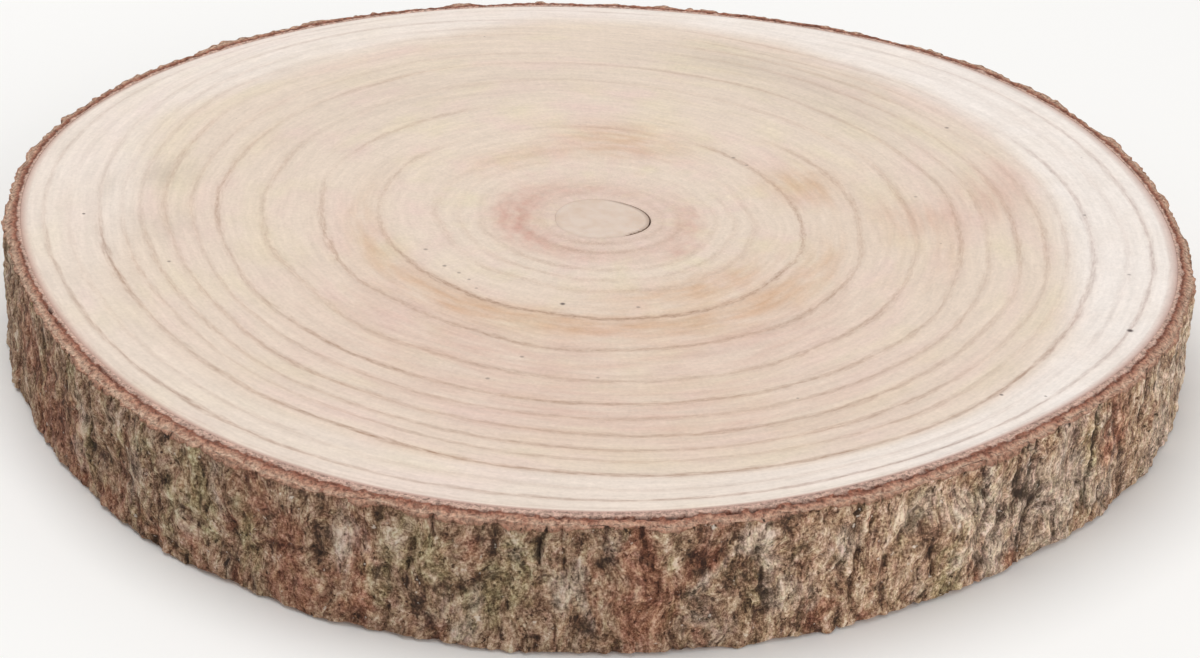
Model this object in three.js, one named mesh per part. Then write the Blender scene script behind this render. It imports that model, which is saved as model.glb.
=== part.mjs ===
// A slice sawn straight across a young, fast-grown trunk, lying flat: the wood with its pith hole,
// the plug that fills the hole, and the ring of bark round the wood. Millimetres, +Z up along the
// grain. The origin is under the middle of the slice, on the surface that it lies on.
import * as THREE from "three";

// Driving sizes. Every other size is worked out from these.
const WOOD_RADIUS = 145; // mean radius of the wood, inside the bark
const THICKNESS = 33; // from saw cut to saw cut
const BARK_THICKNESS = 4.9; // mean, out to the faces of its plates
const PITH_RADIUS = 11.8; // mean radius of the hole where the soft pith was
const PITH_MIDDLE = new THREE.Vector2(0.6, 0.1); // from the middle of the trunk's outline
const SEAM = 0.3; // between the wood and the bark, and round the plug

// The trunk isn't round: each wave moves its outline by `swell` mm, `waves` times round, with a
// crest at `crest` degrees from +X.
const TRUNK_WAVES = [
  { waves: 2, swell: 1.8, crest: 44 },
  { waves: 3, swell: 2.5, crest: 28 },
  { waves: 4, swell: 1.0, crest: -20 },
  { waves: 5, swell: 0.5, crest: -28 },
  { waves: 6, swell: 0.6, crest: -12 },
];
const PITH_WAVES = [
  { waves: 2, swell: 0.3, crest: 0 },
  { waves: 3, swell: 0.4, crest: -5 },
];

// The bark's outer face: broad plates, parted by furrows that run with the grain and wander.
// `cells` are a pattern's grid cells round the trunk, and `length` is its cell along the grain.
const PLATES = { depth: 1.1, cells: 48, length: 26, seed: 5 };
const FURROWS = { depth: 1.9, cells: 72, length: 32, seed: 1 };
const FURROW_SOFTNESS = 0.28; // the share of a plate's height that slopes into a furrow
const WANDER = { depth: 4.5, cells: 58, length: 15, seed: 3 };
const LUMPS = { depth: 0.6, cells: 132, length: 7, seed: 7 };

// The saw tears the bark's outer edge, so the cut slopes down there and is ragged.
const TOP_TEAR = 1.3;
const BOTTOM_TEAR = 0.8;
const RAGGED_TOP = { depth: 0.5, cells: 128, length: 1, seed: 13 };
const RAGGED_BOTTOM = { depth: 0.5, cells: 128, length: 1, seed: 11 };
const FLUSH_SHARE = 0.5; // the inner share of the bark that is still flush with the wood

// Facets.
const TRUNK_COLUMNS = 264;
const BARK_ROWS = 11;
const PITH_COLUMNS = 60;

const FULL_TURN = 2 * Math.PI;

// The radius of a nearly round outline at an angle.
function wavyRadius(mean, waves, angle) {
  const moves = waves.map(
    (wave) => wave.swell * Math.cos(wave.waves * (angle - THREE.MathUtils.degToRad(wave.crest))),
  );
  return moves.reduce((radius, move) => radius + move, mean);
}

const woodRadius = (angle) => wavyRadius(WOOD_RADIUS, TRUNK_WAVES, angle);
const pithRadius = (angle) => wavyRadius(PITH_RADIUS, PITH_WAVES, angle);

// The points of a closed outline, one for each column.
function outline(radiusAt, columns, middle = new THREE.Vector2()) {
  return Array.from({ length: columns }, (_, column) => {
    const angle = (column / columns) * FULL_TURN;
    const radius = radiusAt(angle);
    return new THREE.Vector2(radius * Math.cos(angle), radius * Math.sin(angle)).add(middle);
  });
}

// A repeatable number from 0 to 1 for one corner of a pattern's grid.
function cornerValue(column, row, seed) {
  const spun = Math.sin(column * 127.1 + row * 311.7 + seed * 74.7) * 43758.5453;
  return spun - Math.floor(spun);
}

// A smooth pattern on the trunk, from -1 to 1, that closes on itself after a full turn.
function smoothNoise(angle, height, { cells, length, seed }) {
  const across = (angle / FULL_TURN + 1) * cells;
  const along = height / length;
  const column = Math.floor(across);
  const row = Math.floor(along);
  const u = THREE.MathUtils.smootherstep(across - column, 0, 1);
  const v = THREE.MathUtils.smootherstep(along - row, 0, 1);
  const corner = (right, up) => cornerValue((column + right) % cells, row + up, seed);
  const low = THREE.MathUtils.lerp(corner(0, 0), corner(1, 0), u);
  const high = THREE.MathUtils.lerp(corner(0, 1), corner(1, 1), u);
  return 2 * THREE.MathUtils.lerp(low, high, v) - 1;
}

const relief = (angle, height, pattern) => pattern.depth * smoothNoise(angle, height, pattern);

// How far the bark's outer face stands out from the wood. Furrows lie where a pattern that is
// stretched along the grain passes through zero.
function barkThickness(angle, height) {
  const strayed = angle + relief(angle, height, WANDER) / WOOD_RADIUS;
  const furrow = Math.exp(-((smoothNoise(strayed, height, FURROWS) / FURROW_SOFTNESS) ** 2));
  const plates = relief(angle, height, PLATES) + relief(angle, height, LUMPS);
  return BARK_THICKNESS + plates - FURROWS.depth * furrow;
}

// The wood: sawn flat above and below, with the hole where the pith was.
function woodGeometry() {
  const section = new THREE.Shape(outline(woodRadius, TRUNK_COLUMNS));
  section.holes.push(new THREE.Path(outline(pithRadius, PITH_COLUMNS, PITH_MIDDLE)));
  return new THREE.ExtrudeGeometry(section, { depth: THICKNESS, bevelEnabled: false });
}

// The plug: a slug of filler the full depth of the hole, a seam clear of the wood.
function plugGeometry() {
  const slugRadius = (angle) => pithRadius(angle) - SEAM;
  const section = new THREE.Shape(outline(slugRadius, PITH_COLUMNS, PITH_MIDDLE));
  return new THREE.ExtrudeGeometry(section, { depth: THICKNESS, bevelEnabled: false });
}

// The bark: a plain ring is turned first, in which a point's radius is its share of the bark's
// thickness. Each point then moves out to the trunk's outline and the bark's relief, and
// the outer edges of both cuts draw in where the saw tore them.
function barkGeometry() {
  const outerFace = Array.from(
    { length: BARK_ROWS + 1 },
    (_, row) => new THREE.Vector2(1, (THICKNESS * row) / BARK_ROWS),
  );
  const profile = [
    new THREE.Vector2(0, 0),
    new THREE.Vector2(FLUSH_SHARE, 0),
    ...outerFace,
    new THREE.Vector2(FLUSH_SHARE, THICKNESS),
    new THREE.Vector2(0, THICKNESS),
    new THREE.Vector2(0, 0),
  ];
  const inset = new THREE.Vector2(1, 0);
  const turned = new THREE.LatheGeometry(profile.map((point) => point.add(inset)), TRUNK_COLUMNS);
  turned.rotateX(Math.PI / 2);
  const positions = turned.getAttribute("position");
  for (let i = 0; i < positions.count; i++) {
    const angle = Math.atan2(positions.getY(i), positions.getX(i));
    const share = Math.hypot(positions.getX(i), positions.getY(i)) - inset.x;
    const rise = positions.getZ(i) / THICKNESS;
    const torn = THREE.MathUtils.clamp((share - FLUSH_SHARE) / (1 - FLUSH_SHARE), 0, 1);
    const bottom = torn * (BOTTOM_TEAR + relief(angle, 0, RAGGED_BOTTOM));
    const top = THICKNESS - torn * (TOP_TEAR + relief(angle, 0, RAGGED_TOP));
    const height = THREE.MathUtils.lerp(bottom, top, rise);
    const radius = woodRadius(angle) + SEAM + share * barkThickness(angle, height);
    positions.setXYZ(i, radius * Math.cos(angle), radius * Math.sin(angle), height);
  }
  turned.computeVertexNormals();
  return turned;
}

function piece(name, geometry, color, roughness) {
  const material = new THREE.MeshStandardMaterial({ color, roughness, metalness: 0 });
  const mesh = new THREE.Mesh(geometry, material);
  mesh.name = name;
  return mesh;
}

const slice = new THREE.Group();
slice.add(
  piece("wood_disc", woodGeometry(), 0xe2d2c0, 0.75),
  piece("bark_ring", barkGeometry(), 0x77675a, 0.95),
  piece("pith_plug", plugGeometry(), 0xdccabb, 0.7),
);

// The outline swells more on one side, so the whole slice moves to put its middle on the axis.
const middle = new THREE.Box3().setFromObject(slice).getCenter(new THREE.Vector3());
slice.position.set(-middle.x, -middle.y, 0);

export default slice;
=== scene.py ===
"""A slice of a young, fast-grown trunk, lying on its lower saw cut on a pale floor.

Its upper cut is bare, sanded end grain with growth rings round a filled pith. The bark stands
round the wood in two layers: a red-brown inner bark that the saw has torn down towards the
outside, and an outer bark of rough grey-brown plates and furrows with lichen on them.

Sizes are in millimetres where a name or comment says so, and meshes are in metres. An angle runs
anticlockwise from +X, seen from above, so 270 degrees is the front.
"""

import logging
import math
from dataclasses import dataclass
from enum import Enum

import bpy
import numpy as np
from mathutils import Matrix, Vector


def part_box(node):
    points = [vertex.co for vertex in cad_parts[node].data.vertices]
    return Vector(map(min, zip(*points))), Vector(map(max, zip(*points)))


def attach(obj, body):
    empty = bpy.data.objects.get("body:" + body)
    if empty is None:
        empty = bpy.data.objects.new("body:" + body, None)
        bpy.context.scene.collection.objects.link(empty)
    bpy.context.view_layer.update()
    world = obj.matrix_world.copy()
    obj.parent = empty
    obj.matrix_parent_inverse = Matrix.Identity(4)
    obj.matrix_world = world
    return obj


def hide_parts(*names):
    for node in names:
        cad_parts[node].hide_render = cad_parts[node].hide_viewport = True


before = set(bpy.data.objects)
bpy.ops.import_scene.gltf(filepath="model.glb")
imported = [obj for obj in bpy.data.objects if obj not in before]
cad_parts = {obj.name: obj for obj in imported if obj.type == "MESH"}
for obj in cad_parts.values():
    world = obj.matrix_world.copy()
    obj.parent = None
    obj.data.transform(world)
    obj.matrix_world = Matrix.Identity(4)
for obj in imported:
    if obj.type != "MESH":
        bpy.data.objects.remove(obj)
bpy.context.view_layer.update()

log = logging.getLogger("wood_slice")
Array = np.ndarray
Material = bpy.types.Material
Mesh = bpy.types.Mesh
Piece = bpy.types.Object
Socket = bpy.types.NodeSocket

MM = 0.001
FULL_TURN = 2.0 * math.pi
SHARP_ANGLE = 50.0  # degrees between two faces, above which their edge is drawn sharp
OUTLINE_STEPS = 7200  # a twentieth of a degree each, to find the outline's box

# Settings that many nodes share, by the name of what they do.
RGBA = {"data_type": "RGBA"}
SMOOTH = {"interpolation_type": "SMOOTHSTEP"}
ADDED = {"operation": "ADD"}
SUBTRACTED = {"operation": "SUBTRACT"}
MULTIPLIED = {"operation": "MULTIPLY"}
CLAMPED = {"operation": "MULTIPLY", "use_clamp": True}
MULTIPLIED_ADDED = {"operation": "MULTIPLY_ADD"}
SCALED = {"operation": "SCALE"}


# Numbers and patterns


def ease(share: Array) -> Array:
    """Turns a share from 0 to 1 into one that starts and stops gently: 6s^5 - 15s^4 + 10s^3.

    Args:
        share: Values from 0 to 1.

    Returns:
        The eased values, from 0 to 1.
    """
    return share**3 * (share * (share * 6.0 - 15.0) + 10.0)


def smooth_step(value: Array, low: float, high: float) -> Array:
    """Rises gently from 0 where the value is low to 1 where it is high.

    Args:
        value: Any values.
        low: The value that gives 0.
        high: The value that gives 1.

    Returns:
        Values from 0 to 1.
    """
    return ease(np.clip((value - low) / (high - low), 0.0, 1.0))


def turn_between(angle: Array, middle: float) -> Array:
    """The signed turn from an angle in radians to each angle, between -pi and pi."""
    return (angle - middle + math.pi) % FULL_TURN - math.pi


def bell(*steps: Array) -> Array:
    """A bell over one or more steps from its middle: exp(-(a^2 + b^2 + ...))."""
    return np.exp(-sum(step**2 for step in steps))


def facing(angle: Array, side: float) -> Array:
    """How far each angle in radians faces a side in degrees: the cosine of the turn between."""
    return np.cos(angle - math.radians(side))


@dataclass(frozen=True)
class Pattern:
    """A smooth random pattern on the trunk's side that closes on itself after a full turn.

    Random values stand on a grid that has `cells` columns round the trunk and a row for each
    `length` mm along the grain, and they are eased into each other.
    """

    depth: float
    cells: int
    length: float
    seed: int

    def values(self, angle: Array, height: Array) -> Array:
        """Blends the four random values round each point.

        Args:
            angle: Angles in radians.
            height: Heights in mm.

        Returns:
            Values from -1 to 1.
        """
        across = (angle / FULL_TURN + 1.0) * self.cells
        along = height / self.length
        column = np.floor(across)
        row = np.floor(along)
        across_share = ease(across - column)
        along_share = ease(along - row)
        low = self._mix(column, row, across_share)
        high = self._mix(column, row + 1.0, across_share)
        return 2.0 * (low + (high - low) * along_share) - 1.0

    def relief(self, angle: Array, height: Array) -> Array:
        """Gives the pattern times its depth, which is in mm where it moves a surface."""
        return self.depth * self.values(angle, height)

    def _mix(self, column: Array, row: Array, share: Array) -> Array:
        """Blends the grid's random values of two neighbouring columns in one row.

        Args:
            column: The left columns.
            row: The rows.
            share: How far on the way to the next column, from 0 to 1.

        Returns:
            Values from 0 to 1.
        """
        left = self._corner(column, row)
        right = self._corner(column + 1.0, row)
        return left + (right - left) * share

    def _corner(self, column: Array, row: Array) -> Array:
        """The random value, from 0 to 1, that stands on one corner of the grid."""
        spun = np.sin(column % self.cells * 127.1 + row * 311.7 + self.seed * 74.7) * 43758.5453
        return spun - np.floor(spun)


@dataclass(frozen=True)
class Wave:
    """One wave of an outline: `count` times round, `swell` high, with a crest in degrees."""

    count: int
    swell: float
    crest: float


@dataclass(frozen=True)
class Outline:
    """A value that swells and shrinks round the trunk, such as its outline's radius in mm."""

    mean: float
    waves: tuple[Wave, ...]

    def at(self, angle: Array) -> Array:
        """The mean plus, for each wave, its swell times cos(count * (angle - crest))."""
        moves = [w.swell * np.cos(w.count * (angle - math.radians(w.crest))) for w in self.waves]
        return self.mean + sum(moves)


# The edge between wood and bark, and the edge of the pith, whose first wave is its offset.
TRUNK = Outline(
    145.0,
    (
        Wave(2, 1.8, 44.0), Wave(3, 2.5, 28.0), Wave(4, 1.0, -20.0), Wave(5, 0.5, -28.0),
        Wave(6, 0.6, -12.0),
    ),
)
PITH = Outline(11.8, (Wave(1, 0.6, 9.0), Wave(2, 0.3, 0.0), Wave(3, 0.4, -5.0)))


# Meshes


class Section(Enum):
    """How the rows of a grid that runs round the trunk end."""

    CLOSED = "the last row joins the first"
    POLES = "the first and the last row each close on a middle point"


def pole_fans(rows: int, columns: int) -> Array:
    """Joins a grid's first and last rows to the two middle points that follow its vertices.

    Args:
        rows: Rows in the grid.
        columns: Columns in the grid.

    Returns:
        Three vertex numbers for each triangle.
    """
    here = np.arange(columns)
    there = (here + 1) % columns
    pole = np.full(columns, rows * columns)
    top_row = (rows - 1) * columns
    first_fan = np.stack([pole, there, here], axis=-1)
    last_fan = np.stack([pole + 1, top_row + here, top_row + there], axis=-1)
    return np.concatenate([first_fan, last_fan])


def ring_mesh(name: str, points: Array, section: Section) -> Mesh:
    """Makes a closed mesh from a grid of points that runs round the trunk.

    Each face joins point (row, column) to the next column, then to the next row. Rows that run
    anticlockwise in the plane of radius and height give faces that point outwards.

    Args:
        name: The mesh's name.
        points: Rows by columns by three, in metres.
        section: How the first and last rows end.

    Returns:
        The mesh, smooth but for its sharp edges.
    """
    rows, columns = points.shape[:2]
    vertices = points.reshape(-1, 3)
    last = rows if section is Section.CLOSED else rows - 1
    row, column = np.meshgrid(np.arange(last), np.arange(columns), indexing="ij")
    beside = (column + 1) % columns
    below = row * columns
    above = (row + 1) % rows * columns
    corners = (below + column, below + beside, above + beside, above + column)
    quads = np.stack(corners, axis=-1).reshape(-1, 4)
    fans = np.empty((0, 3), int)
    if section is Section.POLES:
        middles = np.stack([points[0].mean(axis=0), points[-1].mean(axis=0)])
        vertices = np.concatenate([vertices, middles])
        fans = pole_fans(rows, columns)
    corner_list = np.concatenate([quads.ravel(), fans.ravel()]).astype(np.int32)
    sizes = np.concatenate([np.full(len(quads), 4), np.full(len(fans), 3)])
    starts = np.concatenate([[0], np.cumsum(sizes)[:-1]]).astype(np.int32)
    mesh = bpy.data.meshes.new(name)
    mesh.vertices.add(len(vertices))
    mesh.vertices.foreach_set("co", vertices.astype(np.float32).ravel())
    mesh.loops.add(len(corner_list))
    mesh.loops.foreach_set("vertex_index", corner_list)
    mesh.polygons.add(len(sizes))
    mesh.polygons.foreach_set("loop_start", starts)
    mesh.polygons.foreach_set("use_smooth", np.ones(len(sizes), bool))
    mesh.update(calc_edges=True)
    mesh.validate()
    mesh.set_sharp_from_angle(angle=math.radians(SHARP_ANGLE))
    return mesh


def add_values(mesh: Mesh, name: str, values: Array) -> None:
    """Stores one number for each vertex as an attribute; vertices past the last value get 0.

    Args:
        mesh: The mesh.
        name: The attribute's name.
        values: One number each, in the order of the vertices.
    """
    attribute = mesh.attributes.new(name, "FLOAT", "POINT")
    filled = np.zeros(len(mesh.vertices), np.float32)
    filled[: values.size] = values.ravel()
    attribute.data.foreach_set("value", filled)


def add_vectors(mesh: Mesh, name: str, values: Array) -> None:
    """Stores three numbers for each vertex as an attribute; vertices past the last get 0.

    Args:
        mesh: The mesh.
        name: The attribute's name.
        values: Three numbers each, on the last axis, in the order of the vertices.
    """
    attribute = mesh.attributes.new(name, "FLOAT_VECTOR", "POINT")
    filled = np.zeros((len(mesh.vertices), 3), np.float32)
    flat = values.reshape(-1, 3)
    filled[: len(flat)] = flat
    attribute.data.foreach_set("vector", filled.ravel())


def add_piece(name: str, mesh: Mesh, material: Material, node: str) -> Piece:
    """Puts a mesh in the scene as a piece that rides on the slice and replaces a solid.

    Args:
        name: The piece's name.
        mesh: Its mesh, already in place.
        material: Its finish.
        node: The solid that it stands for.

    Returns:
        The piece.
    """
    piece = bpy.data.objects.new(name, mesh)
    bpy.context.scene.collection.objects.link(piece)
    mesh.materials.append(material)
    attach(piece, "root")
    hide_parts(node)
    log.info("%s: %d faces, stands for %s", name, len(mesh.polygons), node)
    return piece


@dataclass(frozen=True)
class Placement:
    """Where the trunk's outline lies in the frame, and how deep the slice is, in mm."""

    middle_x: float
    middle_y: float
    thickness: float

    @classmethod
    def from_frame(cls) -> "Placement":
        """Lays the trunk's outline on the solid wood, box on box.

        Returns:
            The trunk's place and thickness.
        """
        low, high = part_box("wood_disc")
        angle = np.linspace(0.0, FULL_TURN, OUTLINE_STEPS + 1)
        x = TRUNK.at(angle) * np.cos(angle)
        y = TRUNK.at(angle) * np.sin(angle)
        middle_x = (low.x + high.x) / 2.0 / MM - (x.min() + x.max()) / 2.0
        middle_y = (low.y + high.y) / 2.0 / MM - (y.min() + y.max()) / 2.0
        return cls(middle_x, middle_y, (high.z - low.z) / MM)

    def points(self, radius: Array, angle: Array, height: Array) -> Array:
        """Turns radius, angle and height in mm and radians into points in metres.

        Args:
            radius: Distance from the trunk's middle.
            angle: Angle round the trunk.
            height: Height above the floor.

        Returns:
            The points, with a last axis of three.
        """
        x = self.middle_x + radius * np.cos(angle)
        y = self.middle_y + radius * np.sin(angle)
        return np.stack([x, y, np.broadcast_to(height, x.shape)], axis=-1) * MM


# Finishes


def tint(colour: str) -> tuple[float, float, float, float]:
    """Turns an sRGB hex colour such as e2d2c0 into linear red, green, blue and alpha.

    Args:
        colour: Six hex digits.

    Returns:
        The four values, from 0 to 1.
    """
    channels = [int(colour[i : i + 2], 16) / 255.0 for i in (0, 2, 4)]
    linear = [c / 12.92 if c <= 0.04045 else ((c + 0.055) / 1.055) ** 2.4 for c in channels]
    return (linear[0], linear[1], linear[2], 1.0)


def per_mm(size: float) -> float:
    """The scale of a pattern in metres whose features are `size` mm across."""
    return 1.0 / (size * MM)


class Graph:
    """The node tree of one material, with a surface of its own."""

    def __init__(self, name: str) -> None:
        """Makes the material and clears its tree.

        Args:
            name: The material's name.
        """
        self.material = bpy.data.materials.new(name)
        self.material.use_nodes = True
        self.tree = self.material.node_tree
        self.tree.nodes.clear()

    def add(
        self,
        kind: str,
        settings: dict | None = None,
        inputs: dict | None = None,
        output: int | str | None = 0,
    ) -> Socket | None:
        """Adds a node with its settings and links.

        Args:
            kind: The node's type without "ShaderNode", such as "Math".
            settings: Properties of the node. "stops" fills a colour ramp from pairs of place
                and hex colour.
            inputs: Values or other nodes' sockets, by input name or index.
            output: Which output is wanted, or None for a node that has none.

        Returns:
            The wanted output socket.
        """
        node = self.tree.nodes.new("ShaderNode" + kind)
        for name, value in (settings or {}).items():
            if name == "stops":
                elements = node.color_ramp.elements
                while len(elements) < len(value):
                    elements.new(0.5)
                for element, (place, colour) in zip(elements, value):
                    element.position = place
                    element.color = tint(colour)
            else:
                setattr(node, name, value)
        for name, value in (inputs or {}).items():
            if isinstance(value, Socket):
                self.tree.links.new(value, node.inputs[name])
            else:
                node.inputs[name].default_value = value
        return None if output is None else node.outputs[output]

    def finish(
        self,
        colour: Socket | tuple[float, ...],
        roughness: Socket | float,
        normal: Socket,
        ior: float,
        translucent: float = 0.0,
    ) -> Material:
        """Closes the tree with a surface shader and gives the material.

        Light that enters a translucent surface spreads by about 1 mm, red the furthest.

        Args:
            colour: The base colour, as a pattern or as one linear colour.
            roughness: The roughness, one number or a pattern.
            normal: The bumped normal.
            ior: The index of refraction, which sets the strength of the gloss.
            translucent: How much light spreads under the surface, from 0 to 1.

        Returns:
            The finished material.
        """
        inputs = {
            "Base Color": colour,
            "Roughness": roughness,
            "Normal": normal,
            "IOR": ior,
            "Subsurface Weight": translucent,
            "Subsurface Radius": (0.8, 0.5, 0.3),
            "Subsurface Scale": 1.5 * MM,
        }
        surface = self.add("BsdfPrincipled", inputs=inputs)
        self.add("OutputMaterial", inputs={"Surface": surface}, output=None)
        return self.material


@dataclass(frozen=True)
class Streaks:
    """A pattern on the cut, drawn out along the rings, whose features have a size in mm.

    They are `across` wide over the rings, and `along` long round the rim. Further in they
    are shorter, because the pattern turns with the angle.
    """

    across: float
    along: float
    detail: float = 4.0
    roughness: float = 0.5
    shift: tuple[float, float, float] = (0.0, 0.0, 0.0)

    def draw(self, graph: Graph, trunk: Socket) -> Socket:
        """Draws the pattern on mean radius / across, and cosine and sine * rim / along.

        Args:
            graph: The material's graph.
            trunk: Mean radius in mm, and the angle's cosine and sine.

        Returns:
            Values from 0 to 1, mostly near 0.5.
        """
        around = TRUNK.mean / self.along
        factors = (1.0 / self.across, around, around)
        drawn = {0: trunk, 1: factors, 2: self.shift}
        drawn = graph.add("VectorMath", MULTIPLIED_ADDED, drawn)
        fineness = {"Detail": self.detail, "Roughness": self.roughness}
        return graph.add("TexNoise", inputs={"Vector": drawn, "Scale": 1.0, **fineness})


@dataclass(frozen=True)
class Spots:
    """Ragged spots about `width` mm across, where a pattern rises from `low` to `high`."""

    width: float
    low: float
    high: float
    outside: float = 0.0
    inside: float = 1.0
    detail: float = 3.0
    roughness: float = 0.6

    def draw(self, graph: Graph, place: Socket) -> Socket:
        """Draws the spots.

        Args:
            graph: The material's graph.
            place: Where on the piece.

        Returns:
            The `outside` value between the spots and the `inside` value in them.
        """
        fineness = {"Detail": self.detail, "Roughness": self.roughness}
        noise = {"Vector": place, "Scale": per_mm(self.width), **fineness}
        noise = graph.add("TexNoise", inputs=noise)
        edge = {"Value": noise, "From Min": self.low, "From Max": self.high}
        edge = {**edge, "To Min": self.outside, "To Max": self.inside}
        return graph.add("MapRange", SMOOTH, edge)


@dataclass(frozen=True)
class Speck:
    """A small dark speck on the cut: its angle in degrees, radius and size in mm, and strength."""

    angle: float
    radius: float
    size: float
    strength: float


@dataclass(frozen=True)
class SandedEndGrain:
    """Sawn and sanded end grain of a pale, fast-grown wood such as paulownia.

    It gives the eye soft cream wood with blurred brown ring lines, pink and tan stains, nearly
    white sapwood and a matt, finely scratched face. Widths and streaks are in mm.
    """

    place: Placement
    heart: str = "dac3b4"
    body: str = "e1cfbe"
    sapwood: str = "efe5dd"
    cambium: str = "b58a7b"
    ring_line: str = "a98973"
    sapwood_line: str = "a9928c"
    late_wood: str = "cfb39f"
    pink: str = "cda394"
    tan: str = "c99c74"
    grey: str = "c3b3a3"
    rosy_cloud: str = "e3cabe"
    straw_cloud: str = "e0d2b4"
    speck: str = "5b4f4c"
    ior: float = 1.45
    roughness: tuple[float, float] = (0.62, 0.78)
    relief: float = 0.15
    rosy_clouds: Streaks = Streaks(11.765, 40.278, 2.0)
    straw_clouds: Streaks = Streaks(11.765, 40.278, 2.0, shift=(7.0, 3.0, 5.0))
    stain_streaks: Streaks = Streaks(3.3333, 29.0)
    shade_bands: Streaks = Streaks(1.4286, 24.167, 3.0)
    line_breaks: Streaks = Streaks(1.1111, 9.0625)
    line_dashes: Streaks = Streaks(0.5, 4.2647, 3.0, 0.7)
    line_stray: float = 0.7
    rays: Streaks = Streaks(10.0, 1.5263, 2.0)
    mottles: Streaks = Streaks(2.2222, 6.5909, 5.0, 0.7)
    # Real vessels are 0.1 to 0.3 mm wide and the sander's grit is finer still, which the
    # render can't show, so vessels are drawn 0.6 mm wide and the grit 0.8 mm.
    vessels: Streaks = Streaks(0.625, 2.4167)
    grit_width: float = 0.8
    cloud_width: float = 14.0
    speck_spacing: float = 11.0
    specks: tuple[Speck, ...] = (
        Speck(339, 137.6, 1.5, 1), Speck(318, 127.4, 0.9, 0.8), Speck(321, 135, 0.7, 0.6),
        Speck(185, 129, 0.8, 0.9), Speck(199, 110, 0.9, 0.6), Speck(36, 114, 1.1, 0.6),
        Speck(261, 49.6, 1.2, 0.9), Speck(282, 50, 1, 0.5), Speck(7, 125, 0.8, 0.6),
        Speck(352, 133, 0.9, 0.5), Speck(208, 48, 1.1, 0.5), Speck(220, 48.6, 1, 0.6),
        Speck(226, 48.2, 0.9, 0.5), Speck(231, 49, 0.8, 0.5), Speck(236, 51.5, 0.8, 0.4),
        Speck(258, 79, 1, 0.5), Speck(255, 92, 1, 0.5), Speck(271, 86, 0.8, 0.4),
        Speck(50, 53.5, 1.1, 0.5), Speck(44, 52.5, 0.9, 0.4), Speck(15, 84, 0.9, 0.4),
    )

    def material(self) -> Material:
        """Builds the finish from the mesh's ring numbers, distances and stains.

        Returns:
            The material.
        """
        graph = Graph("sanded_end_grain")
        place = graph.add("TexCoord", output="Object")
        trunk = graph.add("Attribute", {"attribute_name": "trunk_place"}, output="Vector")
        clouds = {"Vector": place, "Scale": per_mm(self.cloud_width), "Detail": 3.0}
        clouds = graph.add("TexNoise", inputs=clouds)
        colour = self._ground(graph, clouds, trunk)
        colour = self._stains(graph, colour, trunk)
        colour = self._rings(graph, colour, trunk)
        colour, height = self._grain(graph, colour, place, trunk)
        colour = self._specks(graph, colour, place)
        relief = {"Strength": 0.25, "Distance": self.relief * MM, "Height": height}
        normal = graph.add("Bump", inputs=relief)
        smoothest, roughest = self.roughness
        roughness = {"Value": clouds, "To Min": smoothest, "To Max": roughest}
        roughness = graph.add("MapRange", inputs=roughness)
        return graph.finish(colour, roughness, normal, self.ior)

    def _ground(self, graph: Graph, clouds: Socket, trunk: Socket) -> Socket:
        """Runs from the darker heart to the sapwood, with rosy and straw-coloured clouds.

        Args:
            graph: The material's graph.
            clouds: A soft pattern from 0 to 1.
            trunk: Mean radius in mm, and the angle's cosine and sine.

        Returns:
            The colour, with the rim's stain beside the bark.
        """
        share = graph.add("Attribute", {"attribute_name": "radius_share"}, output="Fac")
        sapwood = graph.add("Attribute", {"attribute_name": "sapwood"}, output="Fac")
        wobble = graph.add("Math", MULTIPLIED_ADDED, {0: clouds, 1: 0.05, 2: share})
        stops = [(0.12, self.heart), (0.24, self.body)]
        colour = graph.add("ValToRGB", {"stops": stops}, {"Fac": wobble})
        washes = (
            (self.rosy_clouds, self.rosy_cloud, 0.8), (self.straw_clouds, self.straw_cloud, 0.5),
        )
        for streaks, wash, most in washes:
            amount = {"Value": streaks.draw(graph, trunk), "From Min": 0.5, "From Max": 0.75}
            amount = graph.add("MapRange", inputs={**amount, "To Max": most})
            colour = graph.add("Mix", RGBA, {0: amount, 6: colour, 7: tint(wash)}, 2)
        ragged = graph.add("Math", MULTIPLIED_ADDED, {0: clouds, 1: 0.7, 2: 0.65})
        ragged = graph.add("Math", CLAMPED, {0: sapwood, 1: ragged})
        colour = graph.add("Mix", RGBA, {0: ragged, 6: colour, 7: tint(self.sapwood)}, 2)
        stained = graph.add("Attribute", {"attribute_name": "stained"}, output="Fac")
        rim = {"Value": share, "From Min": stained, "From Max": 0.9995, "To Max": 0.75}
        rim = graph.add("MapRange", inputs=rim)
        return graph.add("Mix", RGBA, {0: rim, 6: colour, 7: tint(self.cambium)}, 2)

    def _stains(self, graph: Graph, colour: Socket, trunk: Socket) -> Socket:
        """Washes pink, tan and grey over the ground where the mesh says, in uneven streaks.

        Args:
            graph: The material's graph.
            colour: The ground's colour.
            trunk: Mean radius in mm, and the angle's cosine and sine.

        Returns:
            The stained colour.
        """
        stains = graph.add("Attribute", {"attribute_name": "stains"}, output="Vector")
        streaks = self.stain_streaks.draw(graph, trunk)
        uneven = {"Value": streaks, "From Min": 0.3, "From Max": 0.7, "To Min": 0.35, "To Max": 1.3}
        uneven = graph.add("MapRange", inputs=uneven)
        for channel, wash in zip("XYZ", (self.pink, self.tan, self.grey)):
            amount = graph.add("SeparateXYZ", inputs={"Vector": stains}, output=channel)
            amount = graph.add("Math", CLAMPED, {0: amount, 1: uneven})
            colour = graph.add("Mix", RGBA, {0: amount, 6: colour, 7: tint(wash)}, 2)
        return colour

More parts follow.
